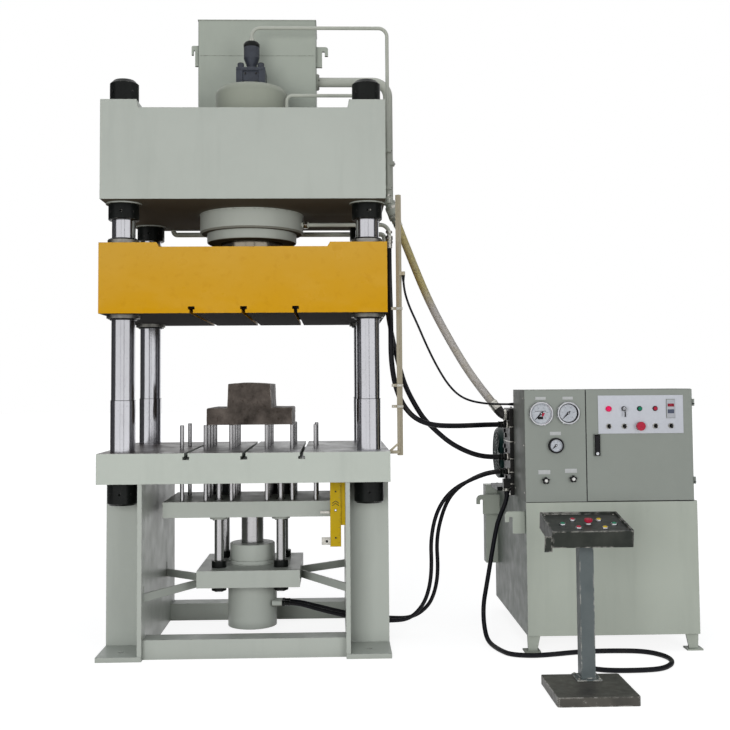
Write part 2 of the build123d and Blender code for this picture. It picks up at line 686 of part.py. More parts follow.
def make_main_cylinder():
    """The cylinder: thread and body through the crown, shoulder on top, rounded head."""
    shoulder_top = CROWN_TOP + CYL_SHOULDER_H
    head = disc(CYL_NECK_D, (shoulder_top, CYL_TOP))
    head = fillet(head.edges().group_by(Axis.Z)[-1], CYL_ROUND)
    body = disc(CYL_D, (CYL_NUT_LOW, CROWN_TOP)) + disc(CYL_SHOULDER_D, (CROWN_TOP, shoulder_top)) + head
    body -= disc(CYL_BORE, (CYL_NUT_LOW - 1, CROWN_LOW + CYL_BORE_TOP))
    return body - disc(PREFILL_PORT_D, (CROWN_LOW + CYL_BORE_TOP - 1, CYL_TOP + 1))


def make_cylinder_nut():
    """The big round nut that holds the cylinder from below, with its side port."""
    nut = disc(CYL_NUT_D, (CYL_NUT_LOW, CROWN_LOW))
    nut = chamfer(nut.edges().group_by(Axis.Z)[0], NUT_CHAMFER)
    nut -= disc(CYL_D + 2 * THREAD_FIT, (CYL_NUT_LOW - 1, CROWN_LOW + 1))
    port_x = (CYL_NUT_D / 2 - 30, CYL_NUT_D / 2 + 5)
    return nut - disc_x(PORT_D + 2 * THREAD_FIT, port_x, RING_PIPE_Y, CROWN_LOW + RING_PIPE_Z)


def make_cylinder_gland():
    """The gland ring with the spigot that guides the ram."""
    gland = disc(GLAND_D, (CYL_NUT_LOW - GLAND_H, CYL_NUT_LOW))
    gland = fillet(gland.edges().group_by(Axis.Z)[0], NUT_CHAMFER)
    gland += disc(CYL_BORE - 2 * THREAD_FIT, (CYL_NUT_LOW, CYL_NUT_LOW + GLAND_SPIGOT_H))
    return gland - disc(RAM_D + 2 * RUN_FIT, (CYL_NUT_LOW - GLAND_H - 1, CYL_NUT_LOW + GLAND_SPIGOT_H + 1))


def make_prefill_valve():
    """The prefill valve: block, four screws and the pilot head."""
    half = VALVE_SIDE / 2
    top = CYL_TOP + VALVE_H
    block = bar((-half, half), (-half, half), (CYL_TOP, top))
    pocket_z = (CYL_TOP + 16, CYL_TOP + 16 + VALVE_POCKET_H)
    pocket_x = (-VALVE_POCKET_W / 2, VALVE_POCKET_W / 2)
    block -= bar(pocket_x, (-half - 1, -half + VALVE_POCKET_DEEP), pocket_z)
    for x in (-VALVE_SCREW_AT, VALVE_SCREW_AT):
        for y in (-VALVE_SCREW_AT, VALVE_SCREW_AT):
            block += disc(VALVE_SCREW_D, (top, top + VALVE_SCREW_H), x, y)
    cone_top = PILOT_NECK_H + PILOT_CONE_H
    outline = [
        (0, top), (PILOT_NECK_D / 2, top), (PILOT_NECK_D / 2, top + PILOT_NECK_H),
        (PILOT_D / 2, top + cone_top), (PILOT_D / 2, top + PILOT_H - 14),
        (PILOT_D / 2 - 12, top + PILOT_H), (0, top + PILOT_H),
    ]
    return block + turned(outline)


def lifting_hook(place, side, reach, height, root):
    """A flat hook on a tank's side, open below; root is the share of its reach before the notch."""
    x, y, z = place
    tip = height - HOOK_TIP
    notch = height - HOOK_NOTCH
    inner = root + 0.45 * (1 - root)
    outline = [(0, 0), (0, height), (1, height), (1, tip), (inner, tip), (inner, notch), (root, notch),
               (root, 0)]
    points = [(x + side * reach * px, z + pz) for px, pz in outline]
    hook = prism_y(points, (y - HOOK_T / 2, y + HOOK_T / 2))
    edges = hook.edges().filter_by(Axis.Y)
    corner = [e for e in edges if abs(e.center().X - x - side * reach) < 1 and e.center().Z > z + notch]
    hook = fillet(corner, 0.22 * reach)
    edges = hook.edges().filter_by(Axis.Y)
    return fillet([e for e in edges if abs(e.center().Z - z - notch) < 1], 0.05 * reach)


def make_upper_tank():
    """The upper oil tank on two feet, with a lifting hook on each side."""
    x = (UTANK_X - UTANK_L / 2, UTANK_X + UTANK_L / 2)
    y = (UTANK_Y, UTANK_Y + UTANK_W)
    tank = bar(x, y, (CROWN_TOP + UTANK_FOOT_H, CROWN_TOP + UTANK_TOP))
    tank = fillet(tank.edges().filter_by(Axis.Z), 10)
    for sign in (-1, 1):
        middle = UTANK_X + sign * UTANK_FOOT_AT
        foot_x = (middle - UTANK_FOOT_W / 2, middle + UTANK_FOOT_W / 2)
        tank += bar(foot_x, (y[0] + 40, y[1] - 20), (CROWN_TOP, CROWN_TOP + UTANK_FOOT_H))
    hook_z = CROWN_TOP + HOOK_Z
    tank += lifting_hook((x[0], HOOK_Y, hook_z), -1, HOOK_LEFT, HOOK_H, HOOK_ROOT)
    tank += lifting_hook((x[1], HOOK_Y, hook_z), 1, HOOK_RIGHT, HOOK_H, HOOK_ROOT)
    return tank


def pipe_clamp(x, y, z, d):
    """A clamp round an upright pipe, with a foot on the side of the crown."""
    foot = bar((CROWN_L / 2, x), (y - 12, y + 12), (z - 15, z + 15))
    body = foot + disc(d + 24, (z - 15, z + 15), x, y)
    return body - disc(d + 2 * THREAD_FIT, (z - 16, z + 16), x, y)


def make_oil_pipes():
    """The rigid pipes on the crown, with their flanges, unions and clamps."""
    tank_side = UTANK_X + UTANK_L / 2
    return_z = CROWN_TOP + RETURN_Z
    knee = (RETURN_X, RETURN_Y, CROWN_LOW + RETURN_KNEE)
    run = [(tank_side, RETURN_Y, return_z), (RETURN_X, RETURN_Y, return_z), knee, RETURN_HOSE[0]]
    return_pipe = pipe(run, RETURN_D, RETURN_BEND)
    return_pipe += disc_x(RETURN_D + 50, (tank_side, tank_side + 16), RETURN_Y, return_z)
    return_pipe += rod_back(knee, RETURN_HOSE[0], RETURN_D + 18, RETURN_UNION_L)

    pilot_top = CYL_TOP + VALVE_H + PILOT_H
    pilot_z = CROWN_TOP + PILOT_PIPE_Z
    pilot_low = CROWN_LOW + PILOT_PIPE_END
    run = [(0, 0, pilot_top), (0, 0, pilot_z), (PIPE_DROP_X, 0, pilot_z), (PIPE_DROP_X, 0, pilot_low)]
    pilot_pipe = pipe(run, PILOT_PIPE_D, 60)
    pilot_pipe += disc(PILOT_PIPE_D + 14, (pilot_top, pilot_top + 26))
    pilot_pipe += disc(PILOT_PIPE_D + 14, (pilot_low, pilot_low + 40), PIPE_DROP_X, 0)

    ring_z = CROWN_LOW + RING_PIPE_Z
    nut_side = CYL_NUT_D / 2
    elbow_low = ring_z - 110
    run = [(nut_side, RING_PIPE_Y, ring_z), (PIPE_DROP_X, RING_PIPE_Y, ring_z),
           (PIPE_DROP_X, RING_PIPE_Y, elbow_low)]
    ring_pipe = pipe(run, RING_PIPE_D, 60)
    ring_pipe += disc_x(PORT_D, (nut_side - 25, nut_side + 40), RING_PIPE_Y, ring_z)
    ring_pipe += disc(PORT_D, (HOSE_A[0][2], elbow_low + 12), PIPE_DROP_X, RING_PIPE_Y)

    cross_z = CROWN_LOW + CROSS_PIPE_Z
    elbow_low = cross_z - 80
    run = [(CROSS_PIPE_START, CROSS_PIPE_Y, CROWN_LOW), (CROSS_PIPE_START, CROSS_PIPE_Y, cross_z),
           (PIPE_DROP_X, CROSS_PIPE_Y, cross_z), (PIPE_DROP_X, CROSS_PIPE_Y, elbow_low)]
    cross_pipe = pipe(run, CROSS_PIPE_D, 30)
    cross_pipe += disc(PORT_D + 6, (HOSE_B[0][2], elbow_low + 12), PIPE_DROP_X, CROSS_PIPE_Y)

    clamps = [pipe_clamp(RETURN_X, RETURN_Y, CROWN_LOW + h, RETURN_D) for h in RETURN_CLAMPS]
    clamps += [pipe_clamp(PIPE_DROP_X, 0, CROWN_LOW + h, PILOT_PIPE_D) for h in PILOT_CLAMPS]
    return [return_pipe, pilot_pipe, ring_pipe, cross_pipe] + clamps


def make_cylinder_pipe():
    """The thin pipe from the cylinder's shoulder over to the raised end of the crown."""
    cap_z = CROWN_TOP + CAP_PIPE_Z
    shoulder_top = CROWN_TOP + CYL_SHOULDER_H
    run = [(CAP_PIPE_X, CAP_PIPE_Y, shoulder_top), (CAP_PIPE_X, CAP_PIPE_Y, cap_z),
           (CAP_PIPE_END_X, CAP_PIPE_Y, cap_z), (CAP_PIPE_END_X, CAP_PIPE_Y, CROWN_PAD_TOP)]
    return pipe(run, CAP_PIPE_D, 40)


def make_slide():
    """The slide with raised ends, bush bores, T-slots and the pocket for the ram."""
    slide = bar((-SLIDE_L / 2, SLIDE_L / 2), (-SLIDE_W / 2, SLIDE_W / 2), (SLIDE_LOW, SLIDE_TOP))
    slide += raised_ends(SLIDE_L / 2, SLIDE_PAD_IN, SLIDE_PAD_SLOPE, SLIDE_W, SLIDE_TOP, SLIDE_PAD_H)
    cuts = tee_slots(SLIDE_SLOT_PITCH, SLIDE_LOW, False, SLIDE_W)
    cuts += moved_to_columns(disc(BUSH_D + 2 * THREAD_FIT, (SLIDE_LOW - 1, SLIDE_PAD_TOP + 1)))
    cuts.append(disc(RAM_D + 2 * THREAD_FIT, (SLIDE_TOP - RAM_POCKET, SLIDE_TOP + 1)))
    return slide - cuts


def make_slide_bushes():
    """Four flanged guide bushes on the columns, each in a lower and an upper half."""
    middle = (SLIDE_LOW + SLIDE_PAD_TOP) / 2
    low = disc(BUSH_D, (SLIDE_LOW, middle - 1)) + disc(BUSH_FLANGE_D, (SLIDE_LOW - BUSH_LOW_H, SLIDE_LOW))
    top = disc(BUSH_D, (middle + 1, SLIDE_PAD_TOP))
    top += disc(BUSH_TOP_D, (SLIDE_PAD_TOP, SLIDE_PAD_TOP + BUSH_TOP_H))
    bore = disc(COLUMN_D + 2 * RUN_FIT, (SLIDE_LOW - BUSH_LOW_H - 1, SLIDE_PAD_TOP + BUSH_TOP_H + 1))
    return moved_to_columns(low - bore) + moved_to_columns(top - bore)


def make_ram():
    """The ram: one polished bar with its piston head."""
    piston_low = CROWN_LOW + PISTON_LOW
    rod = disc(RAM_D, (SLIDE_TOP - RAM_POCKET, piston_low))
    return rod + disc(CYL_BORE - 2 * RUN_FIT, (piston_low, piston_low + PISTON_H))


def make_ejector_cylinder():
    """The ejector cylinder with its screwed gland and two hose ports."""
    body = disc(EJ_BODY_D, (EJ_BODY_LOW, EJ_BODY_TOP))
    gland = disc(EJ_GLAND_D, (EJ_BODY_TOP, EJ_BODY_TOP + EJ_GLAND_H))
    body += fillet(gland.edges().group_by(Axis.Z)[-1], 8)
    body -= disc(EJ_BORE, (EJ_BODY_LOW + 35, EJ_BODY_TOP - 5))
    body -= disc(EJ_ROD_D + 2 * RUN_FIT, (EJ_BODY_TOP - 6, EJ_BODY_TOP + EJ_GLAND_H + 1))
    wall = EJ_BODY_D / 2 - EJ_PORT_IN
    for route in (EJECTOR_HOSE_A, EJECTOR_HOSE_B):
        body += disc_x(EJECTOR_HOSE_D + 14, (wall, route[0][0]), route[0][1], route[0][2])
    return body


def tie_places():
    """Where the four guide rods stand."""
    return [(x, y) for x in (-TIE_X, TIE_X) for y in (-TIE_Y, TIE_Y)]


def strut(side, y):
    """One flat strut from the mounting plate to a leg."""
    start = (side * (EJ_MOUNT_L / 2 - STRUT_T), STRUT_START_Y if y > 0 else -STRUT_START_Y)
    end = (side * LEG_IN, y)
    run = sqrt((end[0] - start[0]) ** 2 + (end[1] - start[1]) ** 2)
    across = (-side * STRUT_T / 2 * (end[1] - start[1]) / run, side * STRUT_T / 2 * (end[0] - start[0]) / run)
    outline = [
        (start[0] + across[0], start[1] + across[1]), (start[0] - across[0], start[1] - across[1]),
        (end[0], end[1] - STRUT_T), (end[0], end[1] + STRUT_T),
    ]
    return prism_z(outline, (STRUT_Z - STRUT_H / 2, STRUT_Z + STRUT_H / 2))


def make_ejector_mount():
    """The plate that carries the ejector cylinder, with its four struts."""
    z = (EJ_MOUNT_LOW, EJ_MOUNT_LOW + EJ_MOUNT_H)
    plate = bar((-EJ_MOUNT_L / 2, EJ_MOUNT_L / 2), (-EJ_MOUNT_W / 2, EJ_MOUNT_W / 2), z)
    for side in (-1, 1):
        for y in (-STRUT_FRONT_Y, STRUT_REAR_Y):
            plate += strut(side, y)
    plate -= disc(EJ_BODY_D + 2 * THREAD_FIT, (z[0] - 1, z[1] + 1))
    return plate - [disc(TIE_D + 2 * THREAD_FIT, (z[0] - 1, z[1] + 1), x, y) for x, y in tie_places()]


def make_tie_rods():
    """Four guide rods, with a thinner stud at the top that is screwed into the bed."""
    low = EJ_MOUNT_LOW - TIE_NUT_LOW_H - 8
    rod = disc(TIE_D, (low, EJ_PLATE_TOP + 6)) + disc(TIE_STUD_D, (EJ_PLATE_TOP + 6, BASE_H + TIE_IN_BED - 1))
    return [Pos(x, y, 0) * rod for x, y in tie_places()]


def make_tie_rod_nuts():
    """Eight black rod nuts, and the stop sleeves on the two rear rods under the bed."""
    top = EJ_MOUNT_LOW + EJ_MOUNT_H
    upper = ring(TIE_NUT_D, TIE_D + 2 * THREAD_FIT, (top, top + TIE_NUT_H))
    lower = ring(TIE_NUT_D, TIE_D + 2 * THREAD_FIT, (EJ_MOUNT_LOW - TIE_NUT_LOW_H, EJ_MOUNT_LOW))
    nuts = [Pos(x, y, 0) * nut for x, y in tie_places() for nut in (upper, lower)]
    sleeve_z = (EJ_PLATE_TOP + STOP_SLEEVE_GAP, BASE_H)
    sleeve = ring(STOP_SLEEVE_D, TIE_D + 4 * LOOSE, sleeve_z)
    return nuts + [Pos(x, TIE_Y, 0) * sleeve for x in (-TIE_X, TIE_X)]


def make_ejector_plate():
    """The ejector plate with the bush flanges of its four guides below."""
    y = (-EJ_PLATE_W / 2, EJ_PLATE_W / 2)
    plate = bar((-EJ_PLATE_L / 2, EJ_PLATE_L / 2), y, (EJ_PLATE_LOW, EJ_PLATE_TOP))
    plate += [disc(EJ_BUSH_D, (EJ_PLATE_LOW - EJ_BUSH_H, EJ_PLATE_LOW), x, yy) for x, yy in tie_places()]
    bore_z = (EJ_PLATE_LOW - EJ_BUSH_H - 1, EJ_PLATE_TOP + 1)
    return plate - [disc(TIE_D + 2 * RUN_FIT, bore_z, x, yy) for x, yy in tie_places()]


def make_ejector_rod():
    """The ejector's piston rod with its piston and the collar under the plate."""
    piston_top = EJ_PISTON_LOW + EJ_PISTON_H
    rod = disc(EJ_ROD_D, (piston_top, EJ_PLATE_LOW))
    rod += disc(EJ_BORE - 2 * RUN_FIT, (EJ_PISTON_LOW, piston_top))
    return rod + disc(EJ_COLLAR_D, (EJ_PLATE_LOW - 12, EJ_PLATE_LOW))


def make_ejector_pins():
    """Twenty pins that stand on the ejector plate and pass through the bed."""
    pin = disc(PIN_D, (EJ_PLATE_TOP, PIN_TOP))
    pin = chamfer(pin.edges().group_by(Axis.Z)[-1], 2)
    return [Pos(x, y, 0) * pin for x, y in pin_places()]


def make_die_block():
    """The rough die block on the pins: a wide foot and a narrower body with a crowned top."""
    foot_top = PIN_TOP + DIE_LOW_H
    body_top = foot_top + DIE_TOP_H
    y = (-DIE_W / 2, DIE_W / 2)
    foot = bar((DIE_X - DIE_L / 2, DIE_X + DIE_L / 2), y, (PIN_TOP, foot_top))
    foot = fillet(foot.edges().filter_by(Axis.Y).group_by(Axis.Z)[-1], 8)
    wide = DIE_TOP_L / 2
    narrow = wide - DIE_TOP_TAPER
    side = Polyline((DIE_X - narrow, body_top), (DIE_X - wide, foot_top),
                    (DIE_X + wide, foot_top), (DIE_X + narrow, body_top))
    crown_top = (DIE_X, body_top + DIE_CROWN)
    crest = ThreePointArc((DIE_X + narrow, body_top), crown_top, (DIE_X - narrow, body_top))
    plane = Plane(origin=(0, y[1], 0), x_dir=(1, 0, 0), z_dir=(0, -1, 0))
    return foot + extrude(plane * make_face([side, crest]), DIE_W)


def make_stroke_rail():
    """The yellow stroke rail on its bracket beside the ejector plate, with its switch."""
    front = (SCALE_Y, SCALE_Y + SCALE_T)
    rail = bar(SCALE_X, front, (SCALE_LOW, BASE_H))
    rail -= disc_y(12, (front[0] - 1, front[1] + 1), (SCALE_X[0] + SCALE_X[1]) / 2, EJ_PLATE_TOP - 60)
    bracket_y = (front[1], front[1] + SCALE_BRACKET_W)
    rail += bar((SCALE_X[1] - 8, LEG_IN), bracket_y, (SCALE_BRACKET_LOW, BASE_H))
    switch = bar((SCALE_X[0] - 52, SCALE_X[0]), (front[0] + 2, front[1]), (SCALE_LOW + 16, SCALE_LOW + 58))
    switch += disc_y(26, (front[0] - 10, front[0] + 2), SCALE_X[0] - 22, SCALE_LOW + 37)
    return rail + switch


def make_hose_post():
    """The angle bar that holds the hoses off the slide, with its bracket, brace and clamps."""
    half = POST_W / 2
    leaf = POST_T / sqrt(2)
    y = POST_Y - half / 2
    outline = [(POST_X - half, y + half), (POST_X, y), (POST_X + half, y + half),
               (POST_X + half - leaf, y + half + leaf), (POST_X, y + 2 * leaf),
               (POST_X - half + leaf, y + half + leaf)]
    post = prism_z(outline, (POST_LOW, CROWN_LOW + POST_RISE))
    bar_z = (BED_TOP - POST_BAR_H - 3, BED_TOP - 3)
    post += bar((SIDE, POST_X), (POST_Y - 4, POST_Y + 4), bar_z)
    brace_top = POST_LOW + POST_BRACE_H
    brace = [(SIDE, bar_z[0]), (SIDE, bar_z[1]), (POST_X, brace_top), (POST_X, brace_top - POST_BRACE_T)]
    post += prism_y(brace, (POST_Y - 3, POST_Y + 3))
    for height in POST_CLAMP_Z:
        z = (BED_TOP + height - POST_CLAMP_H / 2, BED_TOP + height + POST_CLAMP_H / 2)
        post += bar((POST_X - half - 3, POST_X + half + 3), (y - 3, y + half + leaf + 3), z)
        post += bar((POST_X - POST_ARM, POST_X), (POST_Y - 4, POST_Y + 4), z)
    start = SWITCH_CABLE[0]
    holder_z = (start[2], start[2] + 24)
    post += bar((POST_X, start[0]), (POST_Y - 6, POST_Y + 6), holder_z)
    return post + disc(SWITCH_CABLE_D + 10, holder_z, start[0], start[1])


def unit_foot(x, side, y, toe_y):
    """A tapered foot under the tank with its toe plate."""
    toe_x = sorted((x - side * TOE_OUT, x + side * TOE_IN))
    web = [(x, OIL_TANK_LOW), (x + side * 4, 0),
           (x + side * (TOE_IN - 22), 0), (x + side * TOE_IN, OIL_TANK_LOW)]
    return bar(toe_x, toe_y, (0, UNIT_FOOT_T)) + prism_y(web, y)


def make_power_tank():
    """The oil tank of the power unit with its feet and the two lifting hooks on its left."""
    x = (UNIT_X, UNIT_X + OIL_TANK_L)
    rear = UNIT_Y + OIL_TANK_W
    tank = bar(x, (UNIT_Y, rear), (OIL_TANK_LOW, OIL_TANK_TOP))
    for corner_x, side in ((x[0], 1), (x[1], -1)):
        tank += unit_foot(corner_x, side, (UNIT_Y + 20, UNIT_Y + 34), (UNIT_Y + 6, UNIT_Y + 90))
        inner_x = corner_x + side * REAR_FOOT_IN
        tank += unit_foot(inner_x, side, (rear - 34, rear - 20), (rear - 90, rear - 6))
    side_box_z = (OIL_TANK_TOP - SIDE_BOX_H, OIL_TANK_TOP)
    tank += bar((x[0] - SIDE_BOX_OUT, x[0]), (rear - SIDE_BOX_W, rear), side_box_z)
    for y, reach, root in UNIT_HOOKS:
        place = (x[0], UNIT_Y + y, OIL_TANK_TOP - UNIT_HOOK_DOWN)
        tank += lifting_hook(place, -1, reach, UNIT_HOOK_H, root)
    return tank


def make_pump_set():
    """The motor with its pump on the tank, and the valve manifold with its nipples."""
    x = (MOTOR_X, MOTOR_X + MOTOR_L)
    motor = disc_x(MOTOR_D, x, MOTOR_Y, MOTOR_Z)
    motor += disc_x(MOTOR_D - 60, (x[1], x[1] + 110), MOTOR_Y, MOTOR_Z)
    motor += disc_x(160, (x[1] + 110, x[1] + 330), MOTOR_Y, MOTOR_Z)
    feet_y = (MOTOR_Y - 120, MOTOR_Y + 120)
    base_x = (UNIT_X - MOTOR_BASE_OUT, UNIT_X - MOTOR_BASE_OUT + MOTOR_BASE_L)
    motor += bar(base_x, (MOTOR_Y - 150, MOTOR_Y + 150), (OIL_TANK_TOP, OIL_TANK_TOP + MOTOR_BASE_T))
    motor += bar((x[0] + 150, x[1] - 80), feet_y, (OIL_TANK_TOP, MOTOR_Z - MOTOR_D / 2 + 40))
    motor += bar((x[0] + 220, x[0] + 380), (MOTOR_Y - 90, MOTOR_Y + 90), (MOTOR_Z + 120, MOTOR_Z + 230))
    manifold = bar(MANIFOLD_X, MANIFOLD_Y, (OIL_TANK_TOP, MANIFOLD_TOP))
    routes = ((HOSE_A, PRESSURE_HOSE_D), (HOSE_B, PRESSURE_HOSE_D),
              (EJECTOR_HOSE_A, EJECTOR_HOSE_D), (EJECTOR_HOSE_B, EJECTOR_HOSE_D))
    for route, d in routes:
        end = route[-1]
        manifold += disc_x(d + 10, (end[0], MANIFOLD_X[0]), end[1], end[2])
    elbow_end = (MANIFOLD_X[0] + 40, RETURN_ELBOW[1], RETURN_ELBOW[2])
    manifold += pipe([RETURN_HOSE[-1], RETURN_ELBOW, elbow_end], RETURN_HOSE_D + 8, 70)
    start = PEDESTAL_CABLE[0]
    box_z = (start[2] + 20, start[2] + 80)
    manifold += bar((start[0] - 22, MANIFOLD_X[0]), (start[1] - 10, start[1] + 40), box_z)
    manifold += disc(PEDESTAL_CABLE_D + 10, (start[2], box_z[0]), start[0], start[1])
    return [motor, manifold]


def make_cabinet():
    """The cabinet: gauge bay on the left, switchgear bay on the right behind the door."""
    x = (UNIT_X, CAB_RIGHT)
    y = (UNIT_Y, UNIT_Y + CAB_W)
    z = (OIL_TANK_TOP, CAB_TOP)
    split = UNIT_X + DOOR_X
    cabinet = bar(x, y, z)
    inside_z = (z[0] + SHEET, z[1] - SHEET)
    cabinet -= bar((x[0] + SHEET, split - SHEET), (y[0] + SHEET, y[1] - SHEET), inside_z)
    cabinet -= bar((split, x[1] - SHEET), (y[0] - 1, y[1] - SHEET), inside_z)
    cabinet -= bar((split, x[1] + 1), (y[0] - 1, DOOR_BACK + 1), (z[0] - 1, z[1] + 1))
    for gx, gz, d in GAUGES:
        cabinet -= disc_y(d * 0.4 + 2 * LOOSE, (y[0] - 1, y[0] + SHEET + 1), gx, gz)
    for kx, kz in KNOBS:
        boss_y = (y[0] - 6, y[0] + 30)
        cabinet += disc_y(KNOB_STEM_D + 16, boss_y, kx, kz)
        cabinet -= disc_y(KNOB_STEM_D + 2 * BUTTON_FIT, (boss_y[0] - 1, boss_y[1] + 1), kx, kz)
    cabinet += switchgear(split, y[1] - SHEET)
    box_y = (y[1], y[1] + JUNCTION_W)
    end = SWITCH_CABLE[-1]
    cabinet += bar((JUNCTION_X, JUNCTION_X + JUNCTION_L), box_y, JUNCTION_Z)
    cabinet += disc_x(SWITCH_CABLE_D + 10, (end[0], JUNCTION_X), end[1], end[2])
    for hz in HINGE_Z:
        cabinet += hinge_half(hz, DOOR_BACK + 1, x[1])
        cabinet += disc(HINGE_PIN_D, (hz, hz + 2 * HINGE_LEN), x[1] + HINGE_OUT, DOOR_FRONT - HINGE_FRONT)
    return cabinet


def switchgear(left, back):
    """The mounting plate in the cabinet with its rows of contactors, breakers and terminals."""
    plate = bar((left + 40, CAB_RIGHT - 40), (back - 8, back), (OIL_TANK_TOP + 60, CAB_TOP - 60))
    front = back - 8
    for count, pitch, width, deep, down, height in SWITCH_ROWS:
        for i in range(count):
            x = left + SWITCH_ROW_IN + i * pitch
            plate += bar((x, x + width), (front - deep, front), (CAB_TOP - down - height, CAB_TOP - down))
    terminals_x = (left + SWITCH_ROW_IN, CAB_RIGHT - SWITCH_ROW_IN)
    terminals_z = (CAB_TOP - TERMINALS_DOWN - TERMINALS_H, CAB_TOP - TERMINALS_DOWN)
    return plate + bar(terminals_x, (front - TERMINALS_DEEP, front), terminals_z)


def hinge_half(low, leaf_from, leaf_x):
    """One knuckle with the leaf that fixes it to the cabinet or to the door."""
    pin = (CAB_RIGHT + HINGE_OUT, DOOR_FRONT - HINGE_FRONT)
    z = (low, low + HINGE_LEN)
    knuckle = disc(HINGE_D, z, *pin)
    return knuckle + bar(sorted((leaf_x, pin[0])), sorted((pin[1], leaf_from + 10)), z)


def control_places():
    """Centres of the ten controls on the door, by name."""
    columns = [CONTROL_X + i * CONTROL_PITCH for i in range(5)]
    top = dict(zip(("lamp", "key_switch", "start_button", "stop_button"), columns))
    low = dict(zip(("selector_1", "selector_2", "estop_button", "selector_3", "selector_4"), columns))
    places = {name: (x, CONTROL_TOP_Z) for name, x in top.items()}
    places.update({name: (x, CONTROL_LOW_Z) for name, x in low.items()})
    return places


def make_cabinet_door():
    """The folded door with the operator panel, the control collars and the lamp."""
    x = (UNIT_X + DOOR_X + DOOR_GAP, CAB_RIGHT - 1)
    z = (OIL_TANK_TOP + 4, CAB_TOP - 3)
    door = bar(x, (DOOR_FRONT, DOOR_BACK), z)
    inner_x = (x[0] + SHEET, x[1] - SHEET)
    door -= bar(inner_x, (DOOR_FRONT + SHEET, DOOR_BACK + 1), (z[0] + SHEET, z[1] - SHEET))
    door += bar(PANEL_X, (DOOR_FRONT - PANEL_T, DOOR_FRONT), PANEL_Z)
    face = DOOR_FRONT - PANEL_T
    for name, (cx, cz) in control_places().items():
        door += disc_y(COLLAR_D, (face - COLLAR_H, face + COLLAR_DEEP), cx, cz)
        if name == "lamp":
            door += disc_y(CAP_D, (face - COLLAR_H - 5, face - COLLAR_H), cx, cz)
            continue
        door -= disc_y(COLLAR_BORE, (face - COLLAR_H - 1, face + COLLAR_DEEP - 4), cx, cz)
    counter_x = CONTROL_X + 4 * CONTROL_PITCH
    counter_z = (CONTROL_TOP_Z - 62, CONTROL_TOP_Z + 60)
    counter = bar((counter_x - 28, counter_x + 28), (face - 6, face), counter_z)
    for low in (CONTROL_TOP_Z - 12, CONTROL_TOP_Z + 22):
        counter -= bar((counter_x - 20, counter_x + 20), (face - 7, face - 4), (low, low + 22))
    door += counter
    door += handle_plate()
    for hz in HINGE_Z:
        low = hz + HINGE_LEN + LOOSE
        door += hinge_half(low, DOOR_FRONT + 1, x[1] - 4)
        pin = (CAB_RIGHT + HINGE_OUT, DOOR_FRONT - HINGE_FRONT)
        door -= disc(HINGE_PIN_D + 2 * RUN_FIT, (low - 1, low + HINGE_LEN + 1), *pin)
    return door


def handle_plate():
    """The handle's black plate with a recess for the lever and two pin lugs."""
    x = (HANDLE_X - HANDLE_W / 2, HANDLE_X + HANDLE_W / 2)
    plate = bar(x, (DOOR_FRONT - 14, DOOR_FRONT), HANDLE_Z)
    slot_z = (HANDLE_Z[0] + 8, HANDLE_Z[1] - 8)
    plate -= bar((x[0] + 6, x[1] - 6), (DOOR_FRONT - 15, DOOR_FRONT - 3), slot_z)
    return plate + disc_x(HANDLE_PIN_D, x, DOOR_FRONT - 10, HANDLE_Z[0] + 20)


def make_door_handle():
    """The lever of the door handle with its pivot end below and its thumb button."""
    half = HANDLE_W / 2 - 6 - BUTTON_FIT
    pivot = (DOOR_FRONT - 10, HANDLE_Z[0] + 20)
    lever = bar((HANDLE_X - half, HANDLE_X + half), (DOOR_FRONT - 16, DOOR_FRONT - 6),
                (pivot[1], HANDLE_Z[1] - 14))
    lever += disc_x(11, (HANDLE_X - half, HANDLE_X + half), pivot[0], pivot[1])
    lever += disc_y(16, (DOOR_FRONT - 19, DOOR_FRONT - 15), HANDLE_X, pivot[1] + 18)
    return lever - disc_x(HANDLE_PIN_D + 2 * RUN_FIT, (HANDLE_X - 50, HANDLE_X + 50), pivot[0], pivot[1])


def push_cap(name, d_out):
    """A push button's cap with its stem in the collar."""
    x, z = control_places()[name]
    face = DOOR_FRONT - PANEL_T - COLLAR_H
    cap = disc_y(CAP_D, (face - CAP_OUT, face + 26), x, z)
    if d_out > CAP_D:
        cap += disc_y(d_out, (face - CAP_OUT - 20, face - CAP_OUT), x, z)
    return fillet(cap.edges().group_by(Axis.Y)[0], 3 if d_out > CAP_D else 1.5)


def make_selector(name):
    """A selector knob: a disc in the collar with a thumb grip across it."""
    x, z = control_places()[name]
    face = DOOR_FRONT - PANEL_T - COLLAR_H
    knob = disc_y(CAP_D, (face - 6, face + 26), x, z)
    grip = bar((x - 4.5, x + 4.5), (face - 22, face - 6), (z - 14, z + 14))
    grip = fillet(grip.edges().filter_by(Axis.Z), 2)
    return knob + grip


def make_key_switch():
    """The key switch's turning barrel with its key."""
    x, z = control_places()["key_switch"]
    face = DOOR_FRONT - PANEL_T - COLLAR_H
    barrel = disc_y(CAP_D, (face - 4, face + 26), x, z)
    barrel += bar((x - 1.5, x + 1.5), (face - 20, face - 4), (z - 5, z + 5))
    bow = disc_x(26, (x - 1.5, x + 1.5), face - 30, z) - disc_x(8, (x - 2, x + 2), face - 34, z)
    return barrel + bow


def make_gauges():
    """Three pressure gauges: case, rim, dial pocket with its hub pin, and stem."""
    gauges = []
    for x, z, d in GAUGES:
        front = UNIT_Y - GAUGE_H
        case = disc_y(d, (front, UNIT_Y), x, z)
        case = fillet(case.edges().group_by(Axis.Y)[0], 4)
        case -= disc_y(d - 2 * GAUGE_RIM, (front - 1, front + GAUGE_DEEP), x, z)
        case += disc_y(GAUGE_HUB_D, (front + 4, front + GAUGE_DEEP), x, z)
        case += disc_y(d * 0.4, (UNIT_Y, UNIT_Y + 40), x, z)
        gauges.append(case)
    return gauges


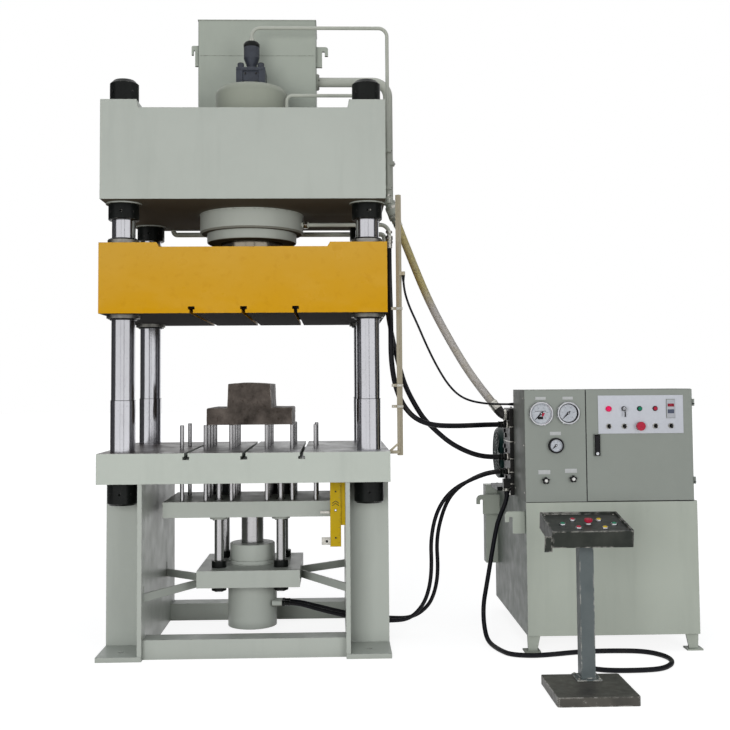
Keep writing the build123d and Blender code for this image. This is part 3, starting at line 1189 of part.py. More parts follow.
def make_needle(x, z, d):
    """A gauge needle on its hub, pointing down to the left at zero."""
    reach = d / 2 - GAUGE_RIM - 10
    back = UNIT_Y - GAUGE_H + GAUGE_DEEP
    y = (back - 4, back - 2)
    outline = [(-6, 0), (-2.4, -reach * 0.35), (-0.9, reach), (0.9, reach), (2.4, -reach * 0.35), (6, 0)]
    turn = radians(135)
    points = [(x + px * cos(turn) - pz * sin(turn), z + px * sin(turn) + pz * cos(turn))
              for px, pz in outline]
    needle = prism_y([points[i] for i in (0, 1, 4, 5, 3, 2)], y)
    needle += disc_y(GAUGE_HUB_D + 8, y, x, z)
    return needle - disc_y(GAUGE_HUB_D + 2 * BUTTON_FIT, (y[0] - 1, y[1] + 1), x, z)


def make_flow_knob(x, z):
    """A flow valve's star knob with its white cap and its stem."""
    face = UNIT_Y - 6 - 2
    knob = disc_y(KNOB_D - 14, (face - KNOB_H, face), x, z)
    for i in range(5):
        angle = 2 * pi * i / 5 + pi / 2
        lobe_x = x + (KNOB_D / 2 - 8) * cos(angle)
        lobe_z = z + (KNOB_D / 2 - 8) * sin(angle)
        knob += disc_y(16, (face - KNOB_H, face), lobe_x, lobe_z)
    knob += disc_y(KNOB_CAP_D, (face - KNOB_H - 8, face - KNOB_H), x, z)
    return knob + disc_y(KNOB_STEM_D, (face, UNIT_Y + 28), x, z)


def panel_plane():
    """The plane of the pedestal's recessed button panel, X to the right, Y up the slope."""
    slope = radians(PED_TILT)
    normal = Vector(0, -sin(slope), cos(slope))
    origin = Vector(PED_X, PED_BOX_Y, PED_BOX_Z) - normal * PED_RECESS
    return Plane(origin=origin, x_dir=(1, 0, 0), z_dir=normal)


def make_pedestal():
    """The pedestal: base plate, square post and sloping box with its button collars."""
    base_x = (PED_BASE_X - PED_BASE_L / 2, PED_BASE_X + PED_BASE_L / 2)
    stand = bar(base_x, PED_BASE_Y, (0, PED_BASE_H))
    stand = chamfer(stand.edges().filter_by(Axis.Z), 8)
    half = PED_POST / 2
    post_x = (PED_X - half, PED_X + half)
    stand += bar(post_x, (PED_POST_Y - half, PED_POST_Y + half), (PED_BASE_H, PED_BOX_Z - 20))
    plane = panel_plane()
    top = PED_RECESS
    half_l = PED_BOX_L / 2
    box = bar((-half_l, half_l), (0, PED_BOX_D), (top - PED_BOX_H, top))
    box = fillet(box.edges().filter_by(Axis.Z), 10)
    box -= bar((-half_l + PED_RIM, half_l - PED_RIM), (PED_RIM, PED_BOX_D - PED_RIM), (0, top + 1))
    for u, v in PED_BUTTONS.values():
        box += disc(COLLAR_D, (0, COLLAR_H), u, v)
        box -= disc(COLLAR_BORE, (-COLLAR_DEEP, COLLAR_H + 1), u, v)
    tab_low = top - PED_BOX_H - TAB_LOW
    box += bar((-half_l - TAB_OUT, 4 - half_l), (12, 12 + TAB_T), (tab_low, tab_low + TAB_H))
    stand += plane.location * box
    gland = PEDESTAL_CABLE[-1]
    stand += disc_y(PEDESTAL_CABLE_D + 10, (PED_POST_Y + half - 1, gland[1]), gland[0], gland[2])
    return stand


def make_pedestal_button(name):
    """One of the pedestal's push buttons."""
    u, v = PED_BUTTONS[name]
    cap = disc(CAP_D, (-COLLAR_DEEP + 8, COLLAR_H + CAP_OUT), u, v)
    if name == "mushroom":
        cap += disc(MUSHROOM_D - 12, (COLLAR_H + CAP_OUT, COLLAR_H + CAP_OUT + 14), u, v)
    cap = fillet(cap.edges().group_by(Axis.Z)[-1], 3)
    return panel_plane().location * cap


def make_parts():
    """Every node of the press, by name."""
    parts = {
        "base_legs": [make_leg(-1), make_leg(1)],
        "base_rails": make_base_rails(),
        "bed": make_bed(),
        "crown": make_crown(),
        "guide_columns": make_columns(),
        "column_nuts": make_column_nuts(),
        "main_cylinder": make_main_cylinder(),
        "cylinder_nut": make_cylinder_nut(),
        "cylinder_gland": make_cylinder_gland(),
        "prefill_valve": make_prefill_valve(),
        "upper_tank": make_upper_tank(),
        "oil_pipes": make_oil_pipes(),
        "cylinder_pipe": make_cylinder_pipe(),
        "slide": make_slide(),
        "slide_bushes": make_slide_bushes(),
        "ram": make_ram(),
        "ejector_cylinder": make_ejector_cylinder(),
        "ejector_mount": make_ejector_mount(),
        "tie_rods": make_tie_rods(),
        "tie_rod_nuts": make_tie_rod_nuts(),
        "ejector_plate": make_ejector_plate(),
        "ejector_rod": make_ejector_rod(),
        "ejector_pins": make_ejector_pins(),
        "die_block": make_die_block(),
        "stroke_rail": make_stroke_rail(),
        "hose_post": make_hose_post(),
        "power_tank": make_power_tank(),
        "pump_set": make_pump_set(),
        "cabinet": make_cabinet(),
        "cabinet_door": make_cabinet_door(),
        "door_handle": make_door_handle(),
        "gauges": make_gauges(),
        "key_switch": make_key_switch(),
        "start_button": push_cap("start_button", CAP_D),
        "stop_button": push_cap("stop_button", CAP_D),
        "estop_button": push_cap("estop_button", MUSHROOM_D),
        "pedestal": make_pedestal(),
        "return_hose": hose("return_hose", RETURN_HOSE, RETURN_HOSE_D),
        "pressure_hose_a": hose("pressure_hose_a", HOSE_A, PRESSURE_HOSE_D),
        "pressure_hose_b": hose("pressure_hose_b", HOSE_B, PRESSURE_HOSE_D),
        "ejector_hose_a": hose("ejector_hose_a", EJECTOR_HOSE_A, EJECTOR_HOSE_D),
        "ejector_hose_b": hose("ejector_hose_b", EJECTOR_HOSE_B, EJECTOR_HOSE_D),
        "switch_cable": hose("switch_cable", SWITCH_CABLE, SWITCH_CABLE_D),
        "pedestal_cable": hose("pedestal_cable", PEDESTAL_CABLE, PEDESTAL_CABLE_D),
    }
    for i in range(4):
        parts[f"selector_{i + 1}"] = make_selector(f"selector_{i + 1}")
    for i, (x, z, d) in enumerate(GAUGES):
        parts[f"gauge_needle_{i + 1}"] = make_needle(x, z, d)
    for i, (x, z) in enumerate(KNOBS):
        parts[f"flow_knob_{i + 1}"] = make_flow_knob(x, z)
    for name in PED_BUTTONS:
        parts[f"pedestal_{name}"] = make_pedestal_button(name)
    return parts


def write_parts():
    """Write one STEP file for each node."""
    os.makedirs("parts", exist_ok=True)
    for name, shape in make_parts().items():
        items = shape if isinstance(shape, list) else [shape]
        solids = [solid for item in items for solid in item.solids()]
        export_step(Compound(children=solids) if len(solids) > 1 else solids[0], f"parts/{name}.step")


write_parts()
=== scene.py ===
import bpy
import bmesh
from math import cos, pi, radians, sin, tau
from mathutils import Matrix, Vector, noise


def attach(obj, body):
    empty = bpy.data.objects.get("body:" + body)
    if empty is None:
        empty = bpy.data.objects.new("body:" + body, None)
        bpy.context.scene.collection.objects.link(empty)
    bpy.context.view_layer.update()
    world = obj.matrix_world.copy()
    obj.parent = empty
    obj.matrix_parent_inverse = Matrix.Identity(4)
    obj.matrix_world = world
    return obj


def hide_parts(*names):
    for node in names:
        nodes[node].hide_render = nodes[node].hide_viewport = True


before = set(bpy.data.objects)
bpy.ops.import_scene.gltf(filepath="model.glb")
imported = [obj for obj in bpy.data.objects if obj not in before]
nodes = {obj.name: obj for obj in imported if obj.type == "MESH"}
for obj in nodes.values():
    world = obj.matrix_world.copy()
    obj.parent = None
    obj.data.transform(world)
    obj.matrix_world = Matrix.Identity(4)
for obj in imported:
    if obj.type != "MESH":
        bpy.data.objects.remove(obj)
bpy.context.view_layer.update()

# Camera
EYE = (0.5755, -6.9246, 1.6846)
YAW, PITCH, ROLL = 0.0296, 0.0509, -0.0075
LENS, SENSOR = 49.3, 36
SHIFT_Y = -0.0405
SIGHT = 200

# Floor: its own glow near the object and how much it takes of the lamps
FLOOR_WHITE = 0.87
FLOOR_SHADOW = 0.3

# Directions, and the upright axis that the press's round parts share
RIGHT, LEFT, FRONT, BACK, DOWN = (1, 0, 0), (-1, 0, 0), (0, -1, 0), (0, 1, 0), (0, 0, -1)
PRESS_AXIS = Matrix.Identity(4)

# Places that several details share, in metres
COLUMN_X, COLUMN_Y = 0.785, 0.475
MOTOR_Y, MOTOR_Z = 0.3, 1.2
GAUGE_FACE, GAUGE_RIM = -0.588, -0.6012
COLLAR_FACE = -0.587
SWITCH_X, SWITCH_Z = 0.512, 0.680
POST_X, POST_Y = 1.968, -1.29
PANEL_SLOPE = 10
MUSHROOM = (0.013, 0.168)
MUSHROOM_COLLAR, BUTTON_COLLAR = 0.0035, 0.008
PEDESTAL_BUTTONS = ((-0.135, 0.152), (-0.062, 0.228), (-0.060, 0.088), MUSHROOM, (0.084, 0.220),
                    (0.084, 0.080), (0.152, 0.144))

# Gauges: their middle across and up, diameter, and the step of the numbers on the dial
GAUGES = ((1.879, 1.503, 0.150, 5), (2.053, 1.505, 0.142, 5), (1.971, 1.300, 0.096, 8))

# Routes of the hoses and cables, in metres
RETURN_HOSE = [
    (1.023, 0.388, 2.918), (1.119, 0.324, 2.642), (1.25, 0.235, 2.287), (1.405, 0.13, 1.965),
    (1.553, 0.031, 1.702), (1.691, -0.061, 1.518),
]
HOSE_A = [
    (0.95, -0.06, 2.69), (0.95, -0.06, 2.6), (0.948, -0.11, 2.455), (0.944, -0.225, 2.31),
    (0.94, -0.35, 2.19), (0.937, -0.425, 2.04), (0.935, -0.438, 1.88), (0.951, -0.434, 1.74),
    (0.978, -0.428, 1.635), (1.026, -0.414, 1.54), (1.1, -0.39, 1.466), (1.215, -0.334, 1.424),
    (1.39, -0.255, 1.416), (1.545, -0.165, 1.418), (1.648, -0.09, 1.417), (1.737, -0.09, 1.417),
]
HOSE_B = [
    (0.95, 0.605, 2.73), (0.95, 0.605, 2.63), (0.95, 0.56, 2.48), (0.953, 0.455, 2.33),
    (0.96, 0.32, 2.19), (0.972, 0.15, 2.065), (0.988, -0.02, 1.93), (1.012, -0.15, 1.8),
    (1.04, -0.212, 1.69), (1.09, -0.222, 1.585), (1.16, -0.205, 1.469), (1.256, -0.182, 1.374),
    (1.353, -0.16, 1.294), (1.463, -0.135, 1.237), (1.555, -0.112, 1.206), (1.65, -0.09, 1.196),
    (1.737, -0.09, 1.196),
]
EJECTOR_HOSE_A = [
    (0.205, -0.04, 0.235), (0.3, -0.04, 0.235), (0.47, -0.06, 0.195), (0.64, -0.09, 0.16),
    (0.78, -0.1, 0.138), (0.93, -0.1, 0.125), (1.08, -0.1, 0.122), (1.19, -0.1, 0.195),
    (1.24, -0.1, 0.3), (1.262, -0.1, 0.44), (1.25, -0.1, 0.66), (1.31, -0.1, 0.875),
    (1.389, -0.1, 0.985), (1.52, -0.085, 1.062), (1.643, -0.07, 1.1), (1.737, -0.07, 1.1),
]
EJECTOR_HOSE_B = [
    (0.205, -0.11, 0.235), (0.3, -0.11, 0.235), (0.47, -0.13, 0.188), (0.64, -0.158, 0.152),
    (0.78, -0.165, 0.128), (0.93, -0.165, 0.118), (1.06, -0.165, 0.128), (1.15, -0.165, 0.215),
    (1.195, -0.165, 0.33), (1.212, -0.165, 0.47), (1.206, -0.165, 0.66), (1.25, -0.165, 0.85),
    (1.35, -0.165, 0.985), (1.507, -0.15, 1.06), (1.643, -0.13, 1.1), (1.737, -0.13, 1.1),
]
SWITCH_CABLE = [
    (1.016, -0.5, 2.4), (1.016, -0.5, 2.325), (1.048, -0.483, 2.212), (1.106, -0.451, 2.092),
    (1.16, -0.422, 1.97), (1.213, -0.393, 1.862), (1.268, -0.364, 1.765), (1.322, -0.334, 1.687),
    (1.388, -0.299, 1.622), (1.47, -0.254, 1.583), (1.585, -0.192, 1.562), (1.7, -0.13, 1.556),
    (1.79, -0.13, 1.556),
]
PEDESTAL_CABLE = [
    (1.727, -0.15, 0.972), (1.727, -0.15, 0.928), (1.714, -0.15, 0.884), (1.686, -0.15, 0.82),
    (1.658, -0.152, 0.75), (1.629, -0.158, 0.613), (1.588, -0.178, 0.405), (1.569, -0.195, 0.32),
    (1.553, -0.215, 0.254), (1.544, -0.24, 0.185), (1.542, -0.28, 0.112), (1.548, -0.335, 0.047),
    (1.561, -0.4, 0.024), (1.581, -0.466, 0.016), (1.609, -0.57, 0.016), (1.65, -0.655, 0.016),
    (1.765, -0.695, 0.017), (1.89, -0.675, 0.016), (2.108, -0.615, 0.017), (2.32, -0.605, 0.016),
    (2.5, -0.63, 0.017), (2.598, -0.745, 0.016), (2.594, -0.889, 0.017), (2.5, -1.01, 0.016),
    (2.37, -1.045, 0.017), (2.18, -1.04, 0.016), (2.065, -1.035, 0.026), (1.995, -1.075, 0.06),
    (1.968, -1.15, 0.09), (1.968, -1.23, 0.09),
]


def rgb(red, green, blue):
    """A linear colour from display values of 0 to 255."""
    return tuple((c / 255) ** 2.2 for c in (red, green, blue)) + (1.0,)


def scaled(colour, factor):
    """A colour made lighter or darker."""
    return tuple(min(c * factor, 1.0) for c in colour[:3]) + (1.0,)


def add_node(tree, kind, values=None, **settings):
    """A new node: its settings, then its inputs, each one set or linked."""
    made = tree.nodes.new(kind)
    for key, value in settings.items():
        setattr(made, key, value)
    for key, value in (values or {}).items():
        if isinstance(value, bpy.types.NodeSocket):
            tree.links.new(value, made.inputs[key])
        else:
            made.inputs[key].default_value = value
    return made


class Graph:
    """The node graph of one material, with a shader that its parts feed."""

    def __init__(self, name, rough=0.5, metal=0.0):
        self.mat = bpy.data.materials.new(name)
        self.mat.use_nodes = True
        self.tree = self.mat.node_tree
        self.tree.nodes.clear()
        self.bsdf = self.node("ShaderNodeBsdfPrincipled", {"Roughness": rough, "Metallic": metal})
        self.node("ShaderNodeOutputMaterial", {"Surface": self.bsdf.outputs[0]})
        self.place = self.node("ShaderNodeTexCoord").outputs["Object"]

    def node(self, kind, values=None, **settings):
        """A new node in this graph."""
        return add_node(self.tree, kind, values, **settings)

    def feed(self, name, socket):
        """Links a pattern to one of the shader's inputs."""
        self.tree.links.new(socket, self.bsdf.inputs[name])

    def noise(self, scale, detail, rough=0.55, stretch=(1, 1, 1)):
        """Noise in the object's own space, finer along an axis that is stretched more."""
        mapping = self.node("ShaderNodeMapping", {"Scale": stretch, "Vector": self.place})
        inputs = {"Vector": mapping.outputs[0], "Scale": scale, "Detail": detail, "Roughness": rough}
        return self.node("ShaderNodeTexNoise", inputs).outputs["Fac"]

    def levels(self, value, low, high, to_low=0.0, to_high=1.0):
        """The part of a value between two levels, spread over a range."""
        inputs = {"Value": value, "From Min": low, "From Max": high, "To Min": to_low, "To Max": to_high}
        return self.node("ShaderNodeMapRange", inputs).outputs[0]

    def mix(self, factor, one, other):
        """A blend of two colours."""
        return self.node("ShaderNodeMix", {0: factor, 6: one, 7: other}, data_type="RGBA").outputs[2]

    def math(self, kind, one, other):
        """Two values combined, and kept between 0 and 1."""
        return self.node("ShaderNodeMath", {0: one, 1: other}, operation=kind, use_clamp=True).outputs[0]

    def axis(self, index):
        """The place along an axis: 0, 1 or 2 for X, Y or Z."""
        return self.node("ShaderNodeSeparateXYZ", {0: self.place}).outputs[index]

    def facing(self, index):
        """How far a face looks along an axis."""
        normal = self.node("ShaderNodeNewGeometry").outputs["True Normal"]
        return self.node("ShaderNodeSeparateXYZ", {0: normal}).outputs[index]

    def edges(self, radius, low=0.9, high=0.995):
        """1 on sharp corners and 0 on flat faces."""
        soft = self.node("ShaderNodeBevel", {"Radius": radius}, samples=3).outputs[0]
        flat = self.node("ShaderNodeNewGeometry").outputs["Normal"]
        dot = self.node("ShaderNodeVectorMath", {0: soft, 1: flat}, operation="DOT_PRODUCT")
        return self.levels(dot.outputs["Value"], low, high, 1.0, 0.0)

    def corners(self, distance, strength):
        """Full strength deep in inside corners, by ambient occlusion: the mask for painted shade."""
        occlusion = self.node("ShaderNodeAmbientOcclusion", {"Distance": distance}, samples=4)
        return self.levels(occlusion.outputs["AO"], 0.25, 0.85, strength, 0.0)

    def spots(self, scale, detail, low, high, to_low=0.0, to_high=1.0):
        """Noise, with the part between two levels spread over a range."""
        return self.levels(self.noise(scale, detail), low, high, to_low, to_high)

    def rubbed(self, radius, scale, detail, low, high):
        """Patches along the corners, where the coat is rubbed off."""
        return self.math("MULTIPLY", self.edges(radius), self.spots(scale, detail, low, high))

    def mottle(self, base, dark, pale, scale, detail, low=0.35):
        """A colour that wanders between two strengths of itself."""
        return self.mix(self.spots(scale, detail, low, 0.7), scaled(base, dark), scaled(base, pale))

    def under(self, colour, dark, axis=2):
        """A second colour or value on the faces that look down, or left with axis 0; used as a colour, it is
        painted shade.
        """
        return self.mix(self.levels(self.facing(axis), -0.8, -0.6, 1.0, 0.0), colour, dark)

    def bump(self, height, strength, distance):
        """Fine relief from a pattern."""
        made = self.node("ShaderNodeBump", {"Strength": strength, "Distance": distance, "Height": height})
        self.feed("Normal", made.outputs[0])

    def colour(self, value):
        """The finished colour."""
        self.feed("Base Color", value)

    def rough(self, value):
        """The finished roughness."""
        self.feed("Roughness", value)

    def satin(self, scale, detail, smooth, rough):
        """Roughness that wanders between two values."""
        self.rough(self.spots(scale, detail, 0.3, 0.7, smooth, rough))

    def dull(self, level):
        """How strongly the surface mirrors what stands before it; 0.5 is plain paint."""
        self.bsdf.inputs["Specular IOR Level"].default_value = level
        return self.mat


def paint(name, base, spread, gloss, chip, corner_shade, peel=0.12, grime=0.25, under=None, side=None):
    """Sprayed paint: mottled, with orange peel, runs of grime, painted shade in inside corners and on faces
    that look down or left, and worn edges.
    """
    g = Graph(name)
    colour = g.mottle(base, 1 - spread, 1 + spread, 1.1, 3, 0.3)
    colour = g.mix(g.spots(22, 6, 0.35, 0.7, 0, 0.35), colour, scaled(base, 1 + spread))
    runs = g.levels(g.noise(7, 6, 0.6, (1, 1, 0.12)), 0.52, 0.75, 0, grime)
    colour = g.mix(runs, colour, scaled(base, 0.72))
    # Painted shade: faces that look down take the under colour, and faces that look left take the side
    # colour.
    if under:
        colour = g.under(colour, under)
    if side:
        colour = g.under(colour, side, 0)
    # Painted shade in inside corners, found by ambient occlusion.
    colour = g.mix(g.corners(0.09, corner_shade), colour, scaled(base, 0.55))
    g.colour(g.mix(g.rubbed(0.004, 38, 5, 0.46, 0.58), colour, chip))
    g.rough(g.under(g.spots(9, 5, 0.3, 0.7, *gloss), (0.9, 0.9, 0.9, 1)))
    g.bump(g.noise(260, 3), peel, 0.0006)
    g.dull(0.3)
    return g


# Painted shade: the colour of faces that look down.
UNDERSIDE_SHADE = rgb(72, 64, 51)


def press_paint():
    """The press's pale grey-green."""
    return paint("press_paint", rgb(168, 173, 166), 0.045, (0.3, 0.46), rgb(112, 114, 106), 0.55,
                 under=UNDERSIDE_SHADE).mat


def cylinder_paint():
    """The main cylinder, a little darker than the press."""
    return paint("cylinder_paint", rgb(142, 146, 134), 0.05, (0.32, 0.48), rgb(104, 104, 96), 0.5,
                 under=UNDERSIDE_SHADE).mat


def pipe_paint():
    """The rigid pipes, a little warmer than the press."""
    return paint("pipe_paint", rgb(172, 175, 165), 0.05, (0.3, 0.45), rgb(120, 120, 112), 0.3).mat


def tank_paint():
    """Both oil tanks, dark on the side away from the lamps."""
    # Painted shade: darker faces that look down and faces that look left, and in inside corners.
    return paint("tank_paint", rgb(162, 168, 158), 0.05, (0.32, 0.5), rgb(100, 102, 95), 0.5, under=UNDERSIDE_SHADE,
                 side=rgb(84, 91, 85)).mat


def amber_paint():
    """The slide's amber gloss paint, paler towards its top, with dark worn edges, painted shade in inside
    corners and near-black painted shade on the faces that look down.
    """
    g = Graph("amber_paint")
    high, low = rgb(192, 148, 56), rgb(192, 141, 10)
    height = g.math("ADD", g.levels(g.axis(2), 2.15, 2.6), g.spots(1.6, 5, 0.3, 0.7, -0.25, 0.25))
    colour = g.mix(height, low, high)
    blotch = g.levels(g.noise(3.2, 6, 0.6, (1, 1, 2.2)), 0.5, 0.72, 0, 0.45)
    colour = g.mix(blotch, colour, rgb(197, 152, 58))
    colour = g.mix(g.spots(17, 6, 0.56, 0.75, 0, 0.3), colour, rgb(168, 116, 14))
    # Painted shade in inside corners.
    colour = g.mix(g.corners(0.05, 0.5), colour, rgb(92, 60, 14))
    worn = g.rubbed(0.004, 34, 5, 0.5, 0.6)
    # Dark brown worn edges, then near-black painted shade on the faces that look down.
    g.colour(g.under(g.mix(worn, colour, rgb(86, 66, 38)), rgb(26, 21, 18)))
    g.rough(g.under(g.spots(6, 5, 0.3, 0.7, 0.24, 0.42), (0.95, 0.95, 0.95, 1)))
    g.bump(g.noise(190, 3), 0.12, 0.0008)
    return g.dull(0.15)


def cabinet_coat():
    """Powder coat with a fine texture, with painted shade on the faces that look left and in inside corners.
    """
    # The side colour is painted shade on the faces that look left, and 0.4 sets painted shade in inside
    # corners.
    g = paint("cabinet_coat", rgb(133, 138, 132), 0.03, (0.42, 0.55), rgb(92, 96, 90), 0.4, 0.0, 0.06,
              side=rgb(92, 95, 91))
    g.bump(g.noise(620, 2), 0.16, 0.0005)
    return g.mat


def ground_steel(name, base, rough):
    """Ground and chromed round steel with fine rings and a little dry oil."""
    g = Graph(name, rough[0], 1.0)
    ring = g.noise(3, 3, 0.5, (0.4, 0.4, 240))
    film = g.levels(g.noise(2.4, 6, 0.62, (1, 1, 0.5)), 0.42, 0.68, 0, 0.5)
    colour = g.mix(film, base, scaled(base, 0.72))
    colour = g.mix(g.spots(60, 3, 0.6, 0.72, 0, 0.25), colour, scaled(base, 0.5))
    g.colour(colour)
    g.rough(g.levels(ring, 0.3, 0.7, *rough))
    g.bump(ring, 0.03, 0.0002)
    return g.mat


def black_steel():
    """Oil-blackened steel with a few pale specks and rubbed corners."""
    g = Graph("black_steel", 0.4, 0.1)
    base = rgb(20, 22, 21)
    colour = g.mottle(base, 0.7, 1.5, 9, 5)
    worn = g.rubbed(0.003, 55, 4, 0.55, 0.64)
    worn = g.math("ADD", worn, g.spots(46, 3, 0.735, 0.75, 0, 0.8))
    g.colour(g.mix(worn, colour, rgb(165, 162, 155)))
    g.satin(24, 5, 0.26, 0.46)
    g.bump(g.noise(120, 4), 0.18, 0.0006)
    return g.dull(0.2)


def bed_finish():
    """Painted sides and a machined top, dark brown on the left and brighter on the right."""
    # From paint: painted shade on the faces that look down and in inside corners.
    g = paint("bed_finish", rgb(178, 184, 176), 0.04, (0.3, 0.46), rgb(118, 118, 110), 0.5, under=UNDERSIDE_SHADE)
    paint_colour = g.bsdf.inputs["Base Color"].links[0].from_socket
    paint_rough = g.bsdf.inputs["Roughness"].links[0].from_socket
    top = g.math("MULTIPLY", g.levels(g.axis(2), 1.2760, 1.2765), g.levels(g.facing(2), 0.6, 0.8))
    side = g.math("ADD", g.levels(g.axis(0), -0.55, 0.45), g.spots(2.6, 6, 0.3, 0.7, -0.35, 0.35))
    steel = g.mix(side, rgb(62, 54, 54), rgb(172, 173, 174))
    stain = g.levels(g.noise(6.5, 7, 0.65), 0.48, 0.64, 0, 0.65)
    steel = g.mix(stain, steel, rgb(72, 64, 58))
    steel = g.mix(g.levels(g.noise(2, 4, 0.5, (1, 160, 1)), 0.5, 0.7, 0, 0.25), steel, rgb(205, 205, 202))
    g.colour(g.mix(top, paint_colour, steel))
    g.feed("Metallic", g.math("MULTIPLY", top, 0.25))
    g.rough(g.mix(top, paint_rough, g.spots(7, 6, 0.35, 0.7, 0.28, 0.5)))
    return g.dull(0.2)


def rough_steel():
    """The die block: dark scale with brown oil and brighter rubbed edges."""
    g = Graph("rough_steel", 0.6, 0.55)
    colour = g.mix(g.levels(g.noise(7, 7, 0.65), 0.35, 0.68), rgb(56, 51, 47), rgb(102, 94, 88))
    colour = g.mix(g.levels(g.noise(30, 6, 0.7), 0.55, 0.7, 0, 0.7), colour, rgb(48, 40, 33))
    worn = g.rubbed(0.008, 18, 6, 0.4, 0.6)
    g.colour(g.mix(worn, colour, rgb(150, 143, 135)))
    g.satin(16, 6, 0.4, 0.72)
    g.bump(g.noise(75, 8, 0.7), 0.5, 0.003)
    return g.dull(0.3)


def plain_steel(name, base, rough, metal=1.0, wear=None):
    """Machined or plated steel with light smudges."""
    g = Graph(name, rough[0], metal)
    colour = g.mottle(base, 0.78, 1.12, 28, 5)
    if wear:
        worn = g.rubbed(0.002, 90, 4, 0.45, 0.6)
        colour = g.mix(worn, colour, wear)
    g.colour(colour)
    g.satin(44, 4, *rough)
    g.bump(g.noise(300, 3), 0.08, 0.0003)
    return g.mat


def plastic(name, base, rough=(0.22, 0.36), glow=0.0, spread=0.1):
    """Moulded plastic with faint handling marks."""
    g = Graph(name)
    g.colour(g.mottle(base, 1 - spread, 1 + spread, 65, 4, 0.4))
    g.satin(120, 4, *rough)
    g.bump(g.noise(900, 2), 0.06, 0.0002)
    if glow:
        g.bsdf.inputs["Emission Color"].default_value = base
        g.bsdf.inputs["Emission Strength"].default_value = glow
    return g.dull(0.2)


def rubber(name, base, scale=90.0):
    """Hose cover: fine wrapped texture, scuffs and dust."""
    g = Graph(name)
    dust = g.levels(g.noise(6, 6, 0.65), 0.5, 0.75, 0, 0.5)
    colour = g.mix(dust, base, scaled(rgb(96, 92, 86), 0.25))
    g.colour(g.mix(g.spots(scale, 3, 0.62, 0.72, 0, 0.4), colour, scaled(base, 2.4)))
    g.satin(20, 5, 0.38, 0.6)
    g.bump(g.noise(scale * 4, 3), 0.2, 0.0008)
    return g.dull(0.2)


def return_hose_skin():
    """The ribbed return hose: tan near the crown and pale grey further down, with painted shade between the
    ribs.
    """
    g = Graph("return_hose_skin", 0.5)
    change = g.math("ADD", g.levels(g.axis(2), 2.2, 2.42), g.spots(9, 5, 0.3, 0.7, -0.2, 0.2))
    colour = g.mix(change, rgb(172, 168, 164), rgb(176, 163, 112))
    colour = g.mix(g.spots(60, 5, 0.5, 0.7, 0, 0.5), colour, rgb(120, 112, 96))
    # Painted shade in the grooves between the ribs.
    colour = g.mix(g.corners(0.012, 0.75), colour, rgb(70, 64, 52))
    g.colour(colour)
    g.satin(30, 5, 0.4, 0.62)
    g.bump(g.noise(300, 3), 0.15, 0.0006)
    return g.mat


def stroke_paint():
    """Yellow paint, scratched, on the stroke rail."""
    return paint("stroke_paint", rgb(205, 172, 24), 0.05, (0.3, 0.46), rgb(70, 62, 30), 0.3, 0.12, 0.1).mat


def pedestal_paint():
    """Dark charcoal paint on the box and base, worn bright at the corners, and a blue-grey post."""
    g = Graph("pedestal_paint", 0.45)
    post = g.levels(g.axis(2), 0.051, 0.053)
    post = g.math("MULTIPLY", post, g.levels(g.axis(2), 0.775, 0.78, 1, 0))
    low = g.levels(g.axis(2), 0.050, 0.051, 1, 0)
    base = g.mix(g.spots(8, 5, 0.35, 0.7), rgb(38, 41, 38), rgb(54, 56, 52))
    base = g.mix(low, base, g.mix(g.spots(6, 6, 0.35, 0.7), rgb(62, 61, 58), rgb(84, 82, 77)))
    colour = g.mix(post, base, g.mix(g.spots(5, 5, 0.3, 0.7), rgb(80, 87, 88), rgb(94, 100, 101)))
    worn = g.math("MULTIPLY", g.edges(0.012, 0.82, 0.99), g.levels(g.noise(16, 7, 0.7), 0.47, 0.56))
    scuff = g.levels(g.noise(24, 8, 0.75), 0.66, 0.7, 0, 0.8)
    worn = g.math("ADD", worn, g.math("MULTIPLY", scuff, g.levels(g.axis(2), 0.052, 0.05)))
    g.colour(g.mix(worn, colour, rgb(176, 174, 168)))
    g.satin(20, 5, 0.34, 0.52)
    g.bump(g.noise(140, 4), 0.15, 0.0008)
    return g.dull(0.2)


def pump_paint():
    """The motor's dark green and the manifold's dark steel, parted by their places, with painted shade in
    inside corners.
    """
    g = Graph("pump_paint", 0.4)
    motor = g.levels(g.axis(1), 0.1, 0.101)
    plate = g.math("MULTIPLY", motor, g.levels(g.axis(2), 0.9695, 0.9700, 1, 0))
    green = g.mix(g.spots(7, 5, 0.35, 0.7), rgb(4, 28, 27), rgb(6, 42, 39))
    steel = g.mix(g.spots(14, 6, 0.35, 0.7), rgb(20, 21, 22), rgb(46, 44, 42))
    colour = g.mix(plate, g.mix(motor, steel, green), rgb(26, 27, 28))
    # Painted shade in inside corners.
    colour = g.mix(g.corners(0.06, 0.7), colour, rgb(12, 14, 13))
    g.colour(colour)
    g.satin(25, 5, 0.3, 0.5)
    g.bump(g.noise(150, 4), 0.15, 0.0008)
    return g.dull(0.25)


def dial_paper():
    """The gauges' pale dials behind glass."""
    g = Graph("dial_paper", 0.3)
    g.colour(g.mix(g.spots(40, 4, 0.35, 0.7), rgb(156, 161, 168), rgb(174, 178, 184)))
    g.satin(90, 3, 0.2, 0.32)
    g.bsdf.inputs["Coat Weight"].default_value = 0.6
    return g.mat


def background_rays(tree):
    """1 for the rays that show the plain background: from the camera, in metal and through glass."""
    path = add_node(tree, "ShaderNodeLightPath")
    seen = path.outputs["Is Camera Ray"]
    for kind in ("Is Glossy Ray", "Is Transmission Ray"):
        inputs = {0: seen, 1: path.outputs[kind]}
        seen = add_node(tree, "ShaderNodeMath", inputs, operation="MAXIMUM").outputs[0]
    return seen


def choose_by_ray(tree, lit, seen, output):
    """One shader for the light on the object, and another for the rays that show the background."""
    inputs = {0: background_rays(tree), 1: lit.outputs[0], 2: seen.outputs[0]}
    choose = add_node(tree, "ShaderNodeMixShader", inputs)
    add_node(tree, output, {"Surface": choose.outputs[0]})


